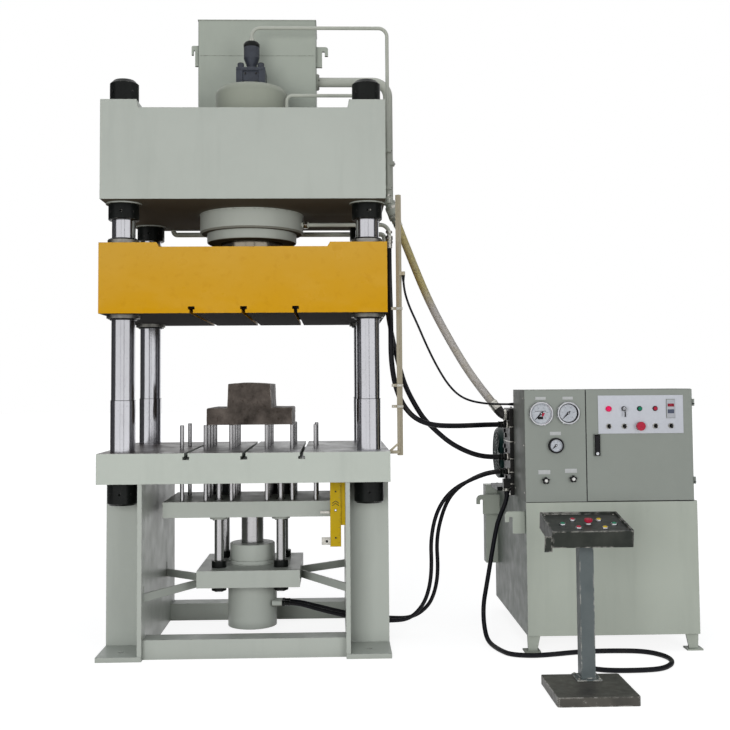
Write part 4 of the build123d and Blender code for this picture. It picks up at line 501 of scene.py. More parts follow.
def floor_finish():
    """A pale floor, white to the camera and in reflections, that keeps the object's shadow."""
    mat = bpy.data.materials.new("floor_finish")
    mat.use_nodes = True
    tree = mat.node_tree
    tree.nodes.clear()
    dull = add_node(tree, "ShaderNodeBsdfDiffuse", {"Color": (0.42, 0.40, 0.37, 1)})
    pale = add_node(tree, "ShaderNodeBsdfDiffuse", {"Color": (FLOOR_SHADOW, FLOOR_SHADOW, FLOOR_SHADOW, 1)})
    place = add_node(tree, "ShaderNodeTexCoord").outputs["Object"]
    reach = add_node(tree, "ShaderNodeVectorMath", {0: place}, operation="LENGTH").outputs["Value"]
    inputs = {"Value": reach, "From Min": 3.0, "From Max": 9.0, "To Min": FLOOR_WHITE, "To Max": 1.0}
    spread = add_node(tree, "ShaderNodeMapRange", inputs)
    white = add_node(tree, "ShaderNodeEmission", {"Strength": spread.outputs[0]})
    both = add_node(tree, "ShaderNodeAddShader", {0: pale.outputs[0], 1: white.outputs[0]})
    choose_by_ray(tree, dull, both, "ShaderNodeOutputMaterial")
    return mat


MATERIALS = {
    "press": press_paint(),
    "pipe": pipe_paint(),
    "tank": tank_paint(),
    "cylinder": cylinder_paint(),
    "amber": amber_paint(),
    "cabinet": cabinet_coat(),
    "column": ground_steel("column_chrome", rgb(204, 204, 209), (0.1, 0.2)),
    # The ram's darker, warmer base colour is painted reflection: the brown it mirrors in the shade below the
    # crown.
    "ram": ground_steel("ram_chrome", rgb(150, 142, 128), (0.12, 0.24)),
    "rod": ground_steel("rod_chrome", rgb(176, 175, 176), (0.14, 0.26)),
    "black": black_steel(),
    "bed": bed_finish(),
    "die": rough_steel(),
    "bush": plain_steel("bush_steel", rgb(150, 148, 142), (0.3, 0.5)),
    "zinc": plain_steel("zinc_plate", rgb(196, 194, 186), (0.22, 0.4)),
    "chrome": plain_steel("bright_chrome", rgb(200, 201, 205), (0.08, 0.2)),
    "screw": plain_steel("screw_steel", rgb(34, 34, 36), (0.3, 0.48), 0.6, rgb(130, 128, 124)),
    "valve": plain_steel("valve_paint", rgb(50, 54, 62), (0.4, 0.55), 0.0, rgb(108, 112, 118)),
    "yellow": stroke_paint(),
    "cream": paint("cream_paint", rgb(166, 158, 138), 0.06, (0.32, 0.5), rgb(120, 108, 84), 0.3).mat,
    "pump": pump_paint(),
    "pedestal": pedestal_paint(),
    "dial": dial_paper(),
    "white": plastic("white_label", rgb(212, 212, 208)),
    "panel": plastic("panel_sheet", rgb(187, 190, 197), (0.3, 0.42), 0.0, 0.02),
    "label": plastic("bare_label", rgb(172, 174, 174), (0.3, 0.42), 0.0, 0.04),
    "grey_plastic": plastic("grey_plastic", rgb(166, 168, 174), (0.3, 0.42), 0.0, 0.03),
    "black_plastic": plastic("black_plastic", rgb(22, 22, 24)),
    "dark_window": plastic("dark_window", rgb(74, 80, 96), (0.1, 0.18)),
    "red_window": plastic("red_window", rgb(120, 26, 40), (0.1, 0.18), 0.15),
    "digit": plastic("lit_digit", rgb(150, 52, 70), (0.3, 0.4), 0.2),
    "red": plastic("red_plastic", rgb(164, 38, 60)),
    "lamp": plastic("lamp_lens", rgb(214, 22, 84), (0.1, 0.2), 0.12),
    "green": plastic("green_plastic", rgb(24, 112, 84)),
    "amber_plastic": plastic("yellow_plastic", rgb(198, 168, 40)),
    "rubber": rubber("hose_rubber", rgb(20, 20, 24)),
    "sheath": rubber("cable_sheath", rgb(18, 19, 24), 160.0),
    "return": return_hose_skin(),
    "screen": plastic("screen_cloth", rgb(96, 96, 98), (0.9, 0.9)),
}

NODE_FINISH = {
    "press": ("base_legs", "base_rails", "crown", "cylinder_nut", "cylinder_gland",
              "ejector_cylinder", "ejector_mount", "ejector_plate"),
    "cylinder": ("main_cylinder",),
    "tank": ("upper_tank", "power_tank"),
    "pipe": ("oil_pipes", "cylinder_pipe"),
    "bed": ("bed",),
    "column": ("guide_columns",),
    "black": ("column_nuts", "tie_rod_nuts"),
    "valve": ("prefill_valve",),
    "amber": ("slide",),
    "bush": ("slide_bushes",),
    "ram": ("ram",),
    "rod": ("tie_rods", "ejector_rod", "ejector_pins"),
    "yellow": ("stroke_rail",),
    "cream": ("hose_post",),
    "pump": ("pump_set",),
    "cabinet": ("cabinet", "cabinet_door"),
    "black_plastic": ("door_handle", "selector_1", "selector_2", "selector_3", "selector_4",
                      "flow_knob_1", "flow_knob_2", "gauge_needle_1", "gauge_needle_2", "gauge_needle_3"),
    "chrome": ("gauges", "key_switch"),
    "green": ("start_button", "pedestal_green_left", "pedestal_green_right"),
    "red": ("stop_button", "estop_button", "pedestal_red_rear", "pedestal_red_front", "pedestal_mushroom"),
    "amber_plastic": ("pedestal_yellow_rear", "pedestal_yellow_front"),
    "pedestal": ("pedestal",),
}


def dress_nodes():
    """Each CAD node that shows gets its procedural material."""
    for finish, names in NODE_FINISH.items():
        for name in names:
            slots = nodes[name].data.materials
            if not slots:
                slots.append(MATERIALS[finish])
            for i in range(len(slots)):
                slots[i] = MATERIALS[finish]


def placed(name, data):
    """A new object in the scene."""
    item = bpy.data.objects.new(name, data)
    bpy.context.scene.collection.objects.link(item)
    return item


def around(count, radius=1.0, start=0):
    """Points at even angles on a circle, the first at an angle in degrees."""
    turns = [tau * i / count + radians(start) for i in range(count)]
    return [(radius * cos(a), radius * sin(a)) for a in turns]


def four(x, y):
    """Four points, mirrored in both directions."""
    return [(a, b) for a in (-x, x) for b in (-y, y)]


def bevelled(part, edges, width, steps):
    """Rounds some of a part's edges."""
    bmesh.ops.bevel(part, geom=edges, offset=width, segments=steps, profile=0.6, affect="EDGES",
                    clamp_overlap=True)


def skin(part, rows, closed=False):
    """Faces between rows of vertices, and across both ends of an open form."""
    for low, high in zip(rows, rows[1:] + rows[:1] if closed else rows[1:]):
        count = max(len(low), len(high))
        for i in range(count):
            j = (i + 1) % count
            corners = (low[i % len(low)], low[j % len(low)], high[j % len(high)], high[i % len(high)])
            part.faces.new(list(dict.fromkeys(corners)))
    if not closed:
        for row in (rows[0], rows[-1]):
            if len(row) > 1:
                part.faces.new(row)
    bmesh.ops.recalc_face_normals(part, faces=part.faces[:])


class Build:
    """Collects small closed forms into one piece."""

    def __init__(self):
        self.mesh = bmesh.new()

    def take(self, part, place=None):
        """Adds one form to the piece."""
        if place is not None:
            part.transform(place)
        data = bpy.data.meshes.new("part")
        part.to_mesh(data)
        part.free()
        self.mesh.from_mesh(data)
        bpy.data.meshes.remove(data)
        return self

    def box(self, low, high, edge=0.001, place=None, steps=2):
        """A box between two corners, with small bevels."""
        part = bmesh.new()
        bmesh.ops.create_cube(part, size=1)
        for vert in part.verts:
            vert.co = [(a + b) / 2 + c * (b - a) for a, b, c in zip(low, high, vert.co)]
        if edge:
            bevelled(part, part.edges[:], edge, steps)
        return self.take(part, place)

    def turned(self, profile, place, count, closed):
        """Radius and height points turned about the local Z axis."""
        part = bmesh.new()
        rows = []
        for radius, height in profile:
            circle = around(count, radius) if radius >= 1e-6 else [(0, 0)]
            rows.append([part.verts.new((x, y, height)) for x, y in circle])
        skin(part, rows, closed)
        return self.take(part, place)

    def lathe(self, profile, place, count=32):
        """An open profile turned about the local Z axis, with both ends shut."""
        return self.turned(profile, place, count, False)

    def ring(self, profile, place, count=48):
        """A closed profile turned about the local Z axis."""
        return self.turned(profile, place, count, True)

    def prism(self, outline, depth, place, edge=0.0):
        """A flat outline in local X and Y, raised along local Z."""
        part = bmesh.new()
        low, high = [[part.verts.new((x, y, z)) for x, y in outline] for z in (0, depth)]
        part.faces.new(low)
        part.faces.new(high)
        for i in range(len(low)):
            j = (i + 1) % len(low)
            part.faces.new((low[i], low[j], high[j], high[i]))
        bmesh.ops.recalc_face_normals(part, faces=part.faces[:])
        if edge:
            bevelled(part, part.edges[:], edge, 1)
        return self.take(part, place)

    def tube(self, points, radii, count):
        """A round tube along points, with one radius for each."""
        part = bmesh.new()
        points = [Vector(p) for p in points]
        across, rows = None, []
        for i, (point, radius) in enumerate(zip(points, radii)):
            way = (points[min(i + 1, len(points) - 1)] - points[max(i - 1, 0)]).normalized()
            if across is None:
                across = way.orthogonal().normalized()
            across = (across - way * across.dot(way)).normalized()
            other = way.cross(across)
            rows.append([part.verts.new(point + (across * a + other * b) * radius) for a, b in around(count)])
        skin(part, rows)
        return self.take(part)

    def done(self, name, finish, body="frame", smooth=40):
        """The finished piece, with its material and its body."""
        data = bpy.data.meshes.new(name)
        self.mesh.to_mesh(data)
        self.mesh.free()
        data.materials.append(MATERIALS[finish])
        shade(data, smooth)
        piece = placed(name, data)
        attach(piece, body)
        return piece


def plate(name, finish, body, low, high, edge=0.001):
    """A piece that is one thin plate."""
    return Build().box(low, high, edge).done(name, finish, body)


def shade(data, angle):
    """Smooth shading with edges kept sharp above an angle."""
    work = bmesh.new()
    work.from_mesh(data)
    for face in work.faces:
        face.smooth = True
    for edge in work.edges:
        edge.smooth = len(edge.link_faces) == 2 and edge.calc_face_angle(0) < radians(angle)
    work.to_mesh(data)
    work.free()


def along(origin, way):
    """A place whose local Z runs along a direction."""
    turn = Vector(way).to_track_quat("Z", "Y").to_matrix().to_4x4()
    return Matrix.Translation(Vector(origin)) @ turn


def upright(x, y, z):
    """A place whose axes aren't turned."""
    return Matrix.Translation((x, y, z))


def axes(origin, right, up, out):
    """A place with its three local axes."""
    return Matrix.Translation(origin) @ Matrix((right, up, out)).transposed().to_4x4()


def front(x, y, z):
    """A place on a face that looks to the front: local X right, local Y up, local Z out."""
    return upright(x, y, z) @ Matrix.Rotation(radians(90), 4, "X")


def make_camera():
    """The camera at the photograph's place and angle."""
    right = Vector((cos(YAW), -sin(YAW), 0))
    ahead = Vector((sin(YAW), cos(YAW), 0))
    up = Vector((0, 0, 1))
    view = ahead * cos(PITCH) + up * sin(PITCH)
    rise = up * cos(PITCH) - ahead * sin(PITCH)
    side = right * cos(ROLL) + rise * sin(ROLL)
    rise = rise * cos(ROLL) - right * sin(ROLL)
    data = bpy.data.cameras.new("camera")
    data.lens = LENS
    data.sensor_width = SENSOR
    data.shift_y = SHIFT_Y
    data.clip_end = SIGHT
    camera = placed("camera", data)
    camera.matrix_world = axes(EYE, side, rise, -view)
    bpy.context.scene.camera = camera


def spline_of(name, points, thickness):
    """A smooth curve on the route's control points."""
    data = bpy.data.curves.new(name, "CURVE")
    data.dimensions = "3D"
    data.resolution_u = 14
    spline = data.splines.new("NURBS")
    spline.points.add(len(points) - 1)
    for control, point in zip(spline.points, points):
        control.co = (*point, 1.0)
    spline.order_u = 3
    spline.use_endpoint_u = True
    data.bevel_depth = thickness / 2
    data.bevel_resolution = 6
    data.use_fill_caps = True
    return placed(name, data)


def line_of(name, points):
    """Points along a route's smooth curve."""
    curve = spline_of(name, points, 0.0)
    bpy.context.view_layer.update()
    data = bpy.data.meshes.new_from_object(curve)
    line = [v.co.copy() for v in data.vertices]
    bpy.data.meshes.remove(data)
    bpy.data.objects.remove(curve)
    return line


def spaced(line, step):
    """Points at even distances along a line."""
    total = sum((b - a).length for a, b in zip(line, line[1:]))
    count = max(int(total / step), 2)
    out = [line[0]]
    gone, index = 0.0, 0
    for k in range(1, count):
        want = total * k / count
        while gone + (line[index + 1] - line[index]).length < want:
            gone += (line[index + 1] - line[index]).length
            index += 1
        span = line[index + 1] - line[index]
        out.append(line[index] + span * ((want - gone) / span.length))
    return out + [line[-1]]


def ferrule(name, at, toward, d):
    """A crimped hose end with its hexagon nut, bright at the crown and black lower down."""
    place = along(at, Vector(toward) - Vector(at))
    r, length = d / 2, 0.055
    profile = [(r * 0.6, 0.0), (r + 0.0055, 0.001), (r + 0.006, 0.02), (r + 0.0035, 0.022),
               (r + 0.0035, 0.026), (r + 0.005, 0.028), (r + 0.005, 0.034), (r + 0.0035, 0.036),
               (r + 0.0035, 0.040), (r + 0.005, 0.042), (r + 0.005, length - 0.003), (r + 0.001, length),
               (r * 0.6, length)]
    build = Build().lathe(profile, place, 28)
    build.prism(around(6, r + 0.009), 0.018, place @ upright(0, 0, 0.001), 0.0012)
    return build.done(name, "zinc" if at[2] > 2 else "black")


def relief(name, at, toward, d):
    """A tapered rubber sleeve where a cable leaves its gland."""
    place = along(at, Vector(toward) - Vector(at))
    r, length = d / 2, 0.04
    profile = [(r * 0.6, 0.0), (r + 0.0042, 0.0005)]
    for i in range(5):
        z = 0.004 + i * (length - 0.008) / 5
        swell = r + 0.0040 - 0.0006 * i
        profile += [(swell, z), (swell, z + 0.004), (swell - 0.0012, z + 0.0048)]
    profile += [(r + 0.0006, length), (r * 0.6, length)]
    return Build().lathe(profile, place, 24).done(name, "rubber")


def lay_hose(name, points, d, finish, ends):
    """One hose or cable on its route, with the pieces at its two ends."""
    curve = spline_of(name + "_line", points, d)
    curve.data.materials.append(MATERIALS[finish])
    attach(curve, "frame")
    made = [ends(f"{name}_end_{i + 1}", points[-i], points[1 - 3 * i], d) for i in (0, 1)]
    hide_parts(name)


def lay_return_hose():
    """The ribbed return hose between the crown's pipe and the elbow of the power unit."""
    d = 0.058
    r = d / 2
    step, steps_a_rib, rib_depth = 0.0016, 7, 0.0022
    cuff = [(r * 0.7, 0.0), (r + 0.006, 0.001), (r + 0.006, 0.03), (r + 0.0035, 0.032), (r + 0.0035, 0.05),
            (r + 0.0045, 0.051), (r + 0.0045, 0.064), (r + 0.001, 0.066), (r * 0.7, 0.066)]
    line = spaced(line_of("return_route", RETURN_HOSE), step)
    ribs = [r - rib_depth * (0.5 + 0.5 * cos(tau * i / steps_a_rib)) for i in range(len(line))]
    hose = Build().tube(line, ribs, 30).done("return_hose_line", "return", "frame", 75)
    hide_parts("return_hose")
    for i, (at, toward) in enumerate((RETURN_HOSE[:2], RETURN_HOSE[:-3:-1])):
        place = along(at, Vector(toward) - Vector(at))
        Build().lathe(cuff, place, 36).done(f"return_hose_end_{i + 1}", "zinc")


def lay_cords():
    """Every hose and cable: route, diameter, cover and ends."""
    lay_return_hose()
    lay_hose("pressure_hose_a", HOSE_A, 0.034, "rubber", ferrule)
    lay_hose("pressure_hose_b", HOSE_B, 0.034, "rubber", ferrule)
    lay_hose("ejector_hose_a", EJECTOR_HOSE_A, 0.026, "rubber", ferrule)
    lay_hose("ejector_hose_b", EJECTOR_HOSE_B, 0.026, "rubber", ferrule)
    lay_hose("switch_cable", SWITCH_CABLE, 0.014, "sheath", relief)
    lay_hose("pedestal_cable", PEDESTAL_CABLE, 0.030, "sheath", relief)


def screw_head(build, place, d, h=None):
    """A socket cap screw head with its hexagon recess."""
    r = d / 2
    h = h or d * 0.55
    socket = r * 0.5
    build.lathe([(0, h - r * 0.6), (socket, h - r * 0.6), (socket, h), (r * 0.9, h), (r, h - r * 0.12),
                 (r, 0), (0, 0)], place, 20)


def hex_head(build, place, d, h=None):
    """A hexagon screw head on its washer."""
    r = d / 2
    h = h or d * 0.45
    build.lathe([(0, 0), (r * 1.15, 0), (r * 1.15, d * 0.1), (0, d * 0.1)], place, 24)
    build.prism(around(6, r), h, place, r * 0.1)


def weld(build, start, end, size, seed):
    """A weld bead with its ripples between two points."""
    start, end = Vector(start), Vector(end)
    count = max(int((end - start).length / 0.012), 3)
    points = [start.lerp(end, i / count) for i in range(count + 1)]
    ripples = [noise.noise(Vector((seed, i * 0.37, 0))) for i in range(count + 1)]
    build.tube(points, [size * (0.8 + 0.2 * sin(i * 2.2) + 0.18 * r) for i, r in enumerate(ripples)], 6)


def column_places():
    """The middles of the four columns, seen from above."""
    return four(COLUMN_X, COLUMN_Y)


def crown_details():
    """Weld beads at the crown's raised ends, and the pin holes of the column nuts."""
    build = Build()
    for x, y in four(0.672, 0.6545):
        weld(build, (x, y, 3.5075), (x * 0.985, y, 3.4565), 0.002, x)
    build.done("crown_seams", "press")
    hole = [(0, -0.002), (0.008, -0.002), (0.008, 0.0012), (0.0055, 0.0012), (0.0055, -0.001), (0, -0.001)]
    marks = Build()
    for x, y in column_places():
        for z, r in ((3.592, 0.0925), (2.8135, 0.098), (1.0155, 0.095)):
            for toward in around(4, 1.0, 45):
                way = Vector((*toward, 0))
                marks.lathe(hole, along(Vector((x, y, z)) + way * r, way), 16)
    marks.done("nut_marks", "screw")


def boss_seals():
    """Dark joints above the column sleeves, and the slide's scraper rings with their screws."""
    joints, rings, screws = Build(), Build(), Build()
    top, bottom = 2.633, 2.129
    for x, y in column_places():
        place = upright(x, y, 0)
        joints.ring([(0.0754, 1.6040), (0.0794, 1.6040), (0.0794, 1.6068), (0.0754, 1.6075)], place)
        rings.ring([(0.0755, top), (0.088, top), (0.090, 2.638), (0.086, 2.644), (0.0755, 2.644)], place)
        rings.ring([(0.0755, 2.118), (0.084, 2.118), (0.088, 2.123), (0.088, bottom), (0.0755, bottom)],
                   place)
        for dx, dy in around(6, 0.0955, 30):
            screw_head(screws, upright(x + dx, y + dy, top), 0.010, 0.006)
            screw_head(screws, along((x + dx, y + dy, bottom), DOWN), 0.010, 0.006)
    joints.done("sleeve_joints", "screw")
    rings.done("scraper_rings", "black_plastic", "press_slide")
    screws.done("bush_screws", "screw", "press_slide")


def valve_details():
    """The prefill valve: socket screws, face plates, the nut on its neck and the pilot cap."""
    screws = Build()
    for x, y in four(0.07, 0.07):
        screw_head(screws, upright(x, y, 3.9245), 0.042, 0.006)
    for x in (-0.038, 0.038):
        for z in (3.795, 3.853):
            screw_head(screws, front(x, -0.0885, z), 0.014)
    screws.done("valve_screws", "screw")
    build = Build()
    build.box((-0.054, -0.0905, 3.778), (0.054, -0.0885, 3.870))
    build.box((-0.098, -0.102, 3.8785), (0.098, -0.0995, 3.8925))
    build.ring([(0.0335, 3.900), (0.046, 3.900), (0.046, 3.914), (0.0335, 3.916)], PRESS_AXIS, 6)
    build.done("valve_plates", "valve")
    cap = Build()
    cap.ring([(0.0552, 4.062), (0.0562, 4.064), (0.0562, 4.086), (0.0450, 4.1004), (0.0302, 4.1012),
              (0.0302, 4.099), (0.040, 4.097)], PRESS_AXIS)
    cap.done("pilot_cap", "black")


def upper_tank_details():
    """The upper oil tank's lid and seams, and the screws and pads of its two feet."""
    build, screws, pads = Build(), Build(), Build()
    build.box((-0.4125, 0.259, 4.3545), (0.4485, 0.653, 4.3618), 0.0015)
    weld(build, (-0.4, 0.2615, 4.0958), (0.436, 0.2615, 4.0958), 0.0022, 3.0)
    for x in (-0.4095, 0.4455):
        for y, seed in ((0.29, x), (0.31, x + 1)):
            weld(build, (x, y, 4.027), (x, y, 4.175), 0.004, seed)
    for foot in (-0.282, 0.318):
        pads.box((foot - 0.075, 0.295, 3.456), (foot + 0.075, 0.637, 3.4622))
        for y in (0.33, 0.6):
            for x in (foot - 0.058, foot + 0.058):
                hex_head(screws, upright(x, y, 3.4562), 0.024)
    build.done("upper_tank_lid", "tank")
    screws.done("upper_tank_screws", "zinc")
    pads.done("upper_tank_pads", "tank")


def hexagon_nut(build, place, flats, height):
    """A plain hexagon, by the distance between its flats."""
    r = flats / 2 / cos(pi / 6)
    build.prism(around(6, r), height, place, r * 0.06)


def pipe_details():
    """Union nuts, flange screws and clamp screws on the rigid pipes."""
    nuts = Build()
    for at, flats, height in (
        ((0, 0, 4.101), 0.036, 0.024), ((0.95, 0, 2.965), 0.036, 0.03), ((0.95, 0, 3.008), 0.030, 0.018),
        ((0.95, -0.06, 2.693), 0.046, 0.03), ((0.95, -0.06, 2.74), 0.040, 0.018),
        ((0.95, 0.605, 2.733), 0.054, 0.03), ((0.95, 0.605, 2.772), 0.048, 0.02),
        ((0.25, -0.12, 3.5265), 0.036, 0.028), ((0.77, -0.12, 3.5085), 0.036, 0.028),
    ):
        hexagon_nut(nuts, upright(*at), flats, height)
    hexagon_nut(nuts, along((0.357, -0.06, 2.8), RIGHT), 0.048, 0.03)
    nuts.done("pipe_unions", "zinc")
    bolts = Build()
    for dy, dz in around(6, 0.048):
        hex_head(bolts, along((0.4615, 0.42 + dy, 3.947 + dz), RIGHT), 0.013)
    for x, y, z, r in ((0.975, 0.42, 3.043, 0.047), (0.975, 0.42, 3.333, 0.047), (0.95, 0, 3.073, 0.022),
                       (0.95, 0, 3.333, 0.022)):
        hex_head(bolts, along((0.925, y - 0.012, z), FRONT), 0.012)
        hex_head(bolts, along((x + r, y, z), RIGHT), 0.012)
    bolts.done("pipe_bolts", "screw")
    seams = Build()
    start, knee = Vector((1.023, 0.388, 2.918)), Vector((0.975, 0.42, 3.056))
    place = along(start, knee - start)
    seams.ring([(0.0442, 0.002), (0.0475, 0.004), (0.0475, 0.024), (0.0442, 0.026)], place, 8)
    seams.ring([(0.0442, 0.07), (0.046, 0.072), (0.046, 0.09), (0.0442, 0.092)], place)
    seams.done("return_union_rings", "zinc")


def cylinder_details():
    """The seams at the cylinder's head and at its big nut."""
    build = Build()
    build.ring([(0.2485, 3.5255), (0.256, 3.5255), (0.2485, 3.534)], PRESS_AXIS, 96)
    build.ring([(0.3555, 2.862), (0.3585, 2.8728), (0.3555, 2.8728)], PRESS_AXIS, 96)
    build.done("cylinder_seams", "press")


def leg_details():
    """Weld beads where the plates of the legs, rails and struts meet."""
    build = Build()
    for side in (-1, 1):
        rail, inner, outer = side * 0.632, side * 0.66, side * 0.91
        for y in (-0.344, 0.344):
            weld(build, (inner, y, 0.035), (inner, y, 1.083), 0.005, side + y)
            weld(build, (inner + side * 0.005, y, 0.030), (outer, y, 0.030), 0.006, side - y)
            weld(build, (inner + side * 0.13, y, 1.087), (outer, y, 1.087), 0.005, 2 * side)
        for y in (-0.592, -0.452, 0.452, 0.592):
            weld(build, (rail, y, 0.004), (rail, y, 0.117), 0.0045, y)
        for y in (-0.57, 0.57):
            weld(build, (inner, y * 0.62, 0.031), (inner, y, 0.031), 0.005, y)
        for y in (-0.56, 0.30):
            weld(build, (rail, y - 0.012, 0.402), (rail, y - 0.012, 0.448), 0.004, y)
    build.done("leg_welds", "press")


def ejector_details():
    """Seams on the ejector's cylinder, the screws under its plate and the arm to the stroke rail."""
    seam = Build()
    seam.ring([(0.1645, 0.4945), (0.172, 0.4952), (0.1645, 0.5025)], PRESS_AXIS, 72)
    seam.ring([(0.1645, 0.3855), (0.172, 0.3848), (0.1645, 0.3775)], PRESS_AXIS, 72)
    seam.done("ejector_seams", "press")
    moving = Build()
    for x, y in four(0.205, 0.2):
        for dx, dy in around(4, 0.046, 45):
            screw_head(moving, along((x + dx, y + dy, 0.814), DOWN), 0.012, 0.007)
    for z in (0.862, 0.912):
        screw_head(moving, front(0.540, -0.320, z), 0.014)
    moving.done("ejector_plate_screws", "screw", "ejector")
    plate("ejector_arm", "zinc", "ejector", (0.470, -0.3315, 0.856), (0.531, -0.3205, 0.872))


def stroke_rail_details():
    """Chevrons, scale marks, screws and switch parts on the yellow stroke rail."""
    face, mid, edge = -0.3461, 0.5695, 0.604
    lowest, spacing = 0.668, 0.0098
    chevron = [(-0.022, 0.0), (0.0, 0.016), (0.022, 0.0), (0.022, 0.005), (0.0, 0.021), (-0.022, 0.005)]
    dark = Build()
    for z in (0.905, 0.921):
        dark.prism(chevron, 0.0006, front(mid, face, z))
    for i in range(41):
        z = lowest + i * spacing
        if 0.86 < z < 0.95:
            continue
        reach = 0.016 if i % 5 == 0 else 0.008
        dark.box((edge - reach, face - 0.0006, z - 0.0006), (edge, face, z + 0.0006), 0)
    dark.ring([(0.0062, 0.0), (0.0095, 0.0), (0.0095, 0.0008), (0.0062, 0.0008)], front(mid, face, 0.878), 24)
    for z in (0.70, 1.0, 1.065):
        screw_head(dark, front(mid, face, z), 0.011)
    dark.done("stroke_marks", "screw")
    switch = Build()
    switch.box((0.478, -0.3475, 0.655), (0.536, -0.3445, 0.705))
    switch.ring([(0.0088, 0.0), (0.0155, 0.0), (0.0155, 0.0035), (0.0088, 0.0035)],
                front(SWITCH_X, -0.3565, SWITCH_Z), 24)
    switch.done("switch_plate", "zinc")
    eye = Build()
    eye.lathe([(0, 0.0), (0.0085, 0.0), (0.0085, 0.008), (0.006, 0.010), (0, 0.010)],
              front(SWITCH_X, -0.356, SWITCH_Z), 24)
    eye.done("switch_eye", "black_plastic")


def post_details():
    """Clamp plates and screws of the hose post."""
    bands = Build()
    for z in (1.555, 1.690, 2.185):
        bands.box((0.967, -0.5142, z - 0.0075), (1.007, -0.5122, z + 0.0075), 0.0008)
        for x in (0.975, 0.999):
            hex_head(bands, front(x, -0.5142, z), 0.010)
        hex_head(bands, front(0.945, -0.504, z), 0.012)
    bands.done("post_bands", "zinc")
    welds = Build()
    weld(welds, (0.9155, -0.5045, 1.2545), (0.9155, -0.5045, 1.273), 0.003, 1.0)
    weld(welds, (0.972, -0.505, 1.273), (0.985, -0.5125, 1.273), 0.0025, 2.0)
    welds.done("post_welds", "cream")


def motor_details():
    """Cooling fins, fan cowl, terminal box lid and lifting eye of the motor."""
    build = Build()
    fins, under_box = 44, (10, 11, 12)
    for k in range(fins):
        if k in under_box:
            continue
        a = tau * k / fins
        fin = axes((0, MOTOR_Y, MOTOR_Z), RIGHT, (0, -sin(a), cos(a)), (0, cos(a), sin(a)))
        build.box((1.842, -0.0022, 0.163), (2.332, 0.0022, 0.184), 0.001, fin, 1)
    build.done("motor_fins", "pump")
    cowl = Build()
    turn = along((1.732, MOTOR_Y, MOTOR_Z), RIGHT)
    cowl.ring([(0.158, 0.008), (0.168, 0.0), (0.180, 0.010), (0.182, 0.10), (0.166, 0.104), (0.166, 0.02)],
              turn, 64)
    for r in (0.05, 0.075, 0.10, 0.125, 0.150):
        cowl.ring([(r, 0.006), (r + 0.008, 0.004), (r + 0.008, 0.010), (r, 0.012)], turn)
    for k in range(8):
        spoke = turn @ Matrix.Rotation(tau * k / 8, 4, "Z")
        cowl.box((-0.004, 0.03, 0.004), (0.004, 0.162, 0.009), 0.001, spoke)
    cowl.ring([(0.148, 0.62), (0.176, 0.615), (0.180, 0.625), (0.180, 0.650), (0.148, 0.655)], turn, 64)
    cowl.done("motor_cowl", "pump")
    top = Build()
    top.box((1.954, 0.202, 1.428), (2.130, 0.398, 1.438), 0.003)
    for x in (1.967, 2.117):
        for y in (0.215, 0.385):
            hex_head(top, upright(x, y, 1.438), 0.012)
    top.ring([(0.014, -0.006), (0.026, -0.006), (0.026, 0.006), (0.014, 0.006)],
             along((2.242, 0.3, 1.40), BACK), 28)
    top.box((2.232, 0.29, 1.36), (2.252, 0.31, 1.385), 0.002)
    top.done("motor_box_lid", "pump")


def manifold_details():
    """Joint plates, nipple nuts, cover screws and plugs of the valve manifold, and its cable's gland."""
    build = Build()
    for z in (1.016, 1.095, 1.185, 1.30, 1.40):
        build.box((1.7505, -0.1615, z), (1.7900, 0.0915, z + 0.005), 0.0008)
    build.box((1.7495, -0.150, 0.9435), (1.7600, 0.080, 0.958), 0.002)
    for y, z, flats in (
        (-0.09, 1.417, 0.048), (-0.09, 1.196, 0.048), (-0.07, 1.1, 0.040), (-0.13, 1.1, 0.040),
    ):
        hexagon_nut(build, along((1.7395, y, z), RIGHT), flats, 0.012)
    for x in (1.80, 1.90, 2.04):
        for y in (-0.12, 0.05):
            screw_head(build, upright(x, y, 1.528), 0.016)
    build.ring([(0.034, 0.0), (0.041, 0.002), (0.041, 0.018), (0.034, 0.02)],
               along((1.722, -0.081, 1.478), RIGHT), 32)
    hexagon_nut(build, upright(1.727, -0.15, 0.9735), 0.046, 0.016)
    build.done("manifold_nuts", "zinc")
    plugs = Build()
    for z in (1.05, 1.235, 1.34):
        for k in range(2):
            plugs.lathe([(0, 0), (0.014, 0), (0.015, 0.002), (0.015, 0.010), (0, 0.011)],
                        along((1.7522, 0.045 * k, z + k * 0.030), LEFT), 24)
    plugs.box((1.756, -0.156, 1.5195), (2.076, 0.086, 1.528), 0.002)
    plugs.done("manifold_plugs", "screw")


def digits(build, text, x, y, z, size):
    """Numbers as raised shapes, facing the front."""
    data = bpy.data.curves.new("number", "FONT")
    data.body = text
    data.size = size
    data.extrude = 0.0001
    data.align_x = data.align_y = "CENTER"
    word = placed("number", data)
    bpy.context.view_layer.update()
    part = bmesh.new()
    mesh = bpy.data.meshes.new_from_object(word)
    part.from_mesh(mesh)
    bpy.data.objects.remove(word)
    bpy.data.meshes.remove(mesh)
    build.take(part, front(x, y, z))


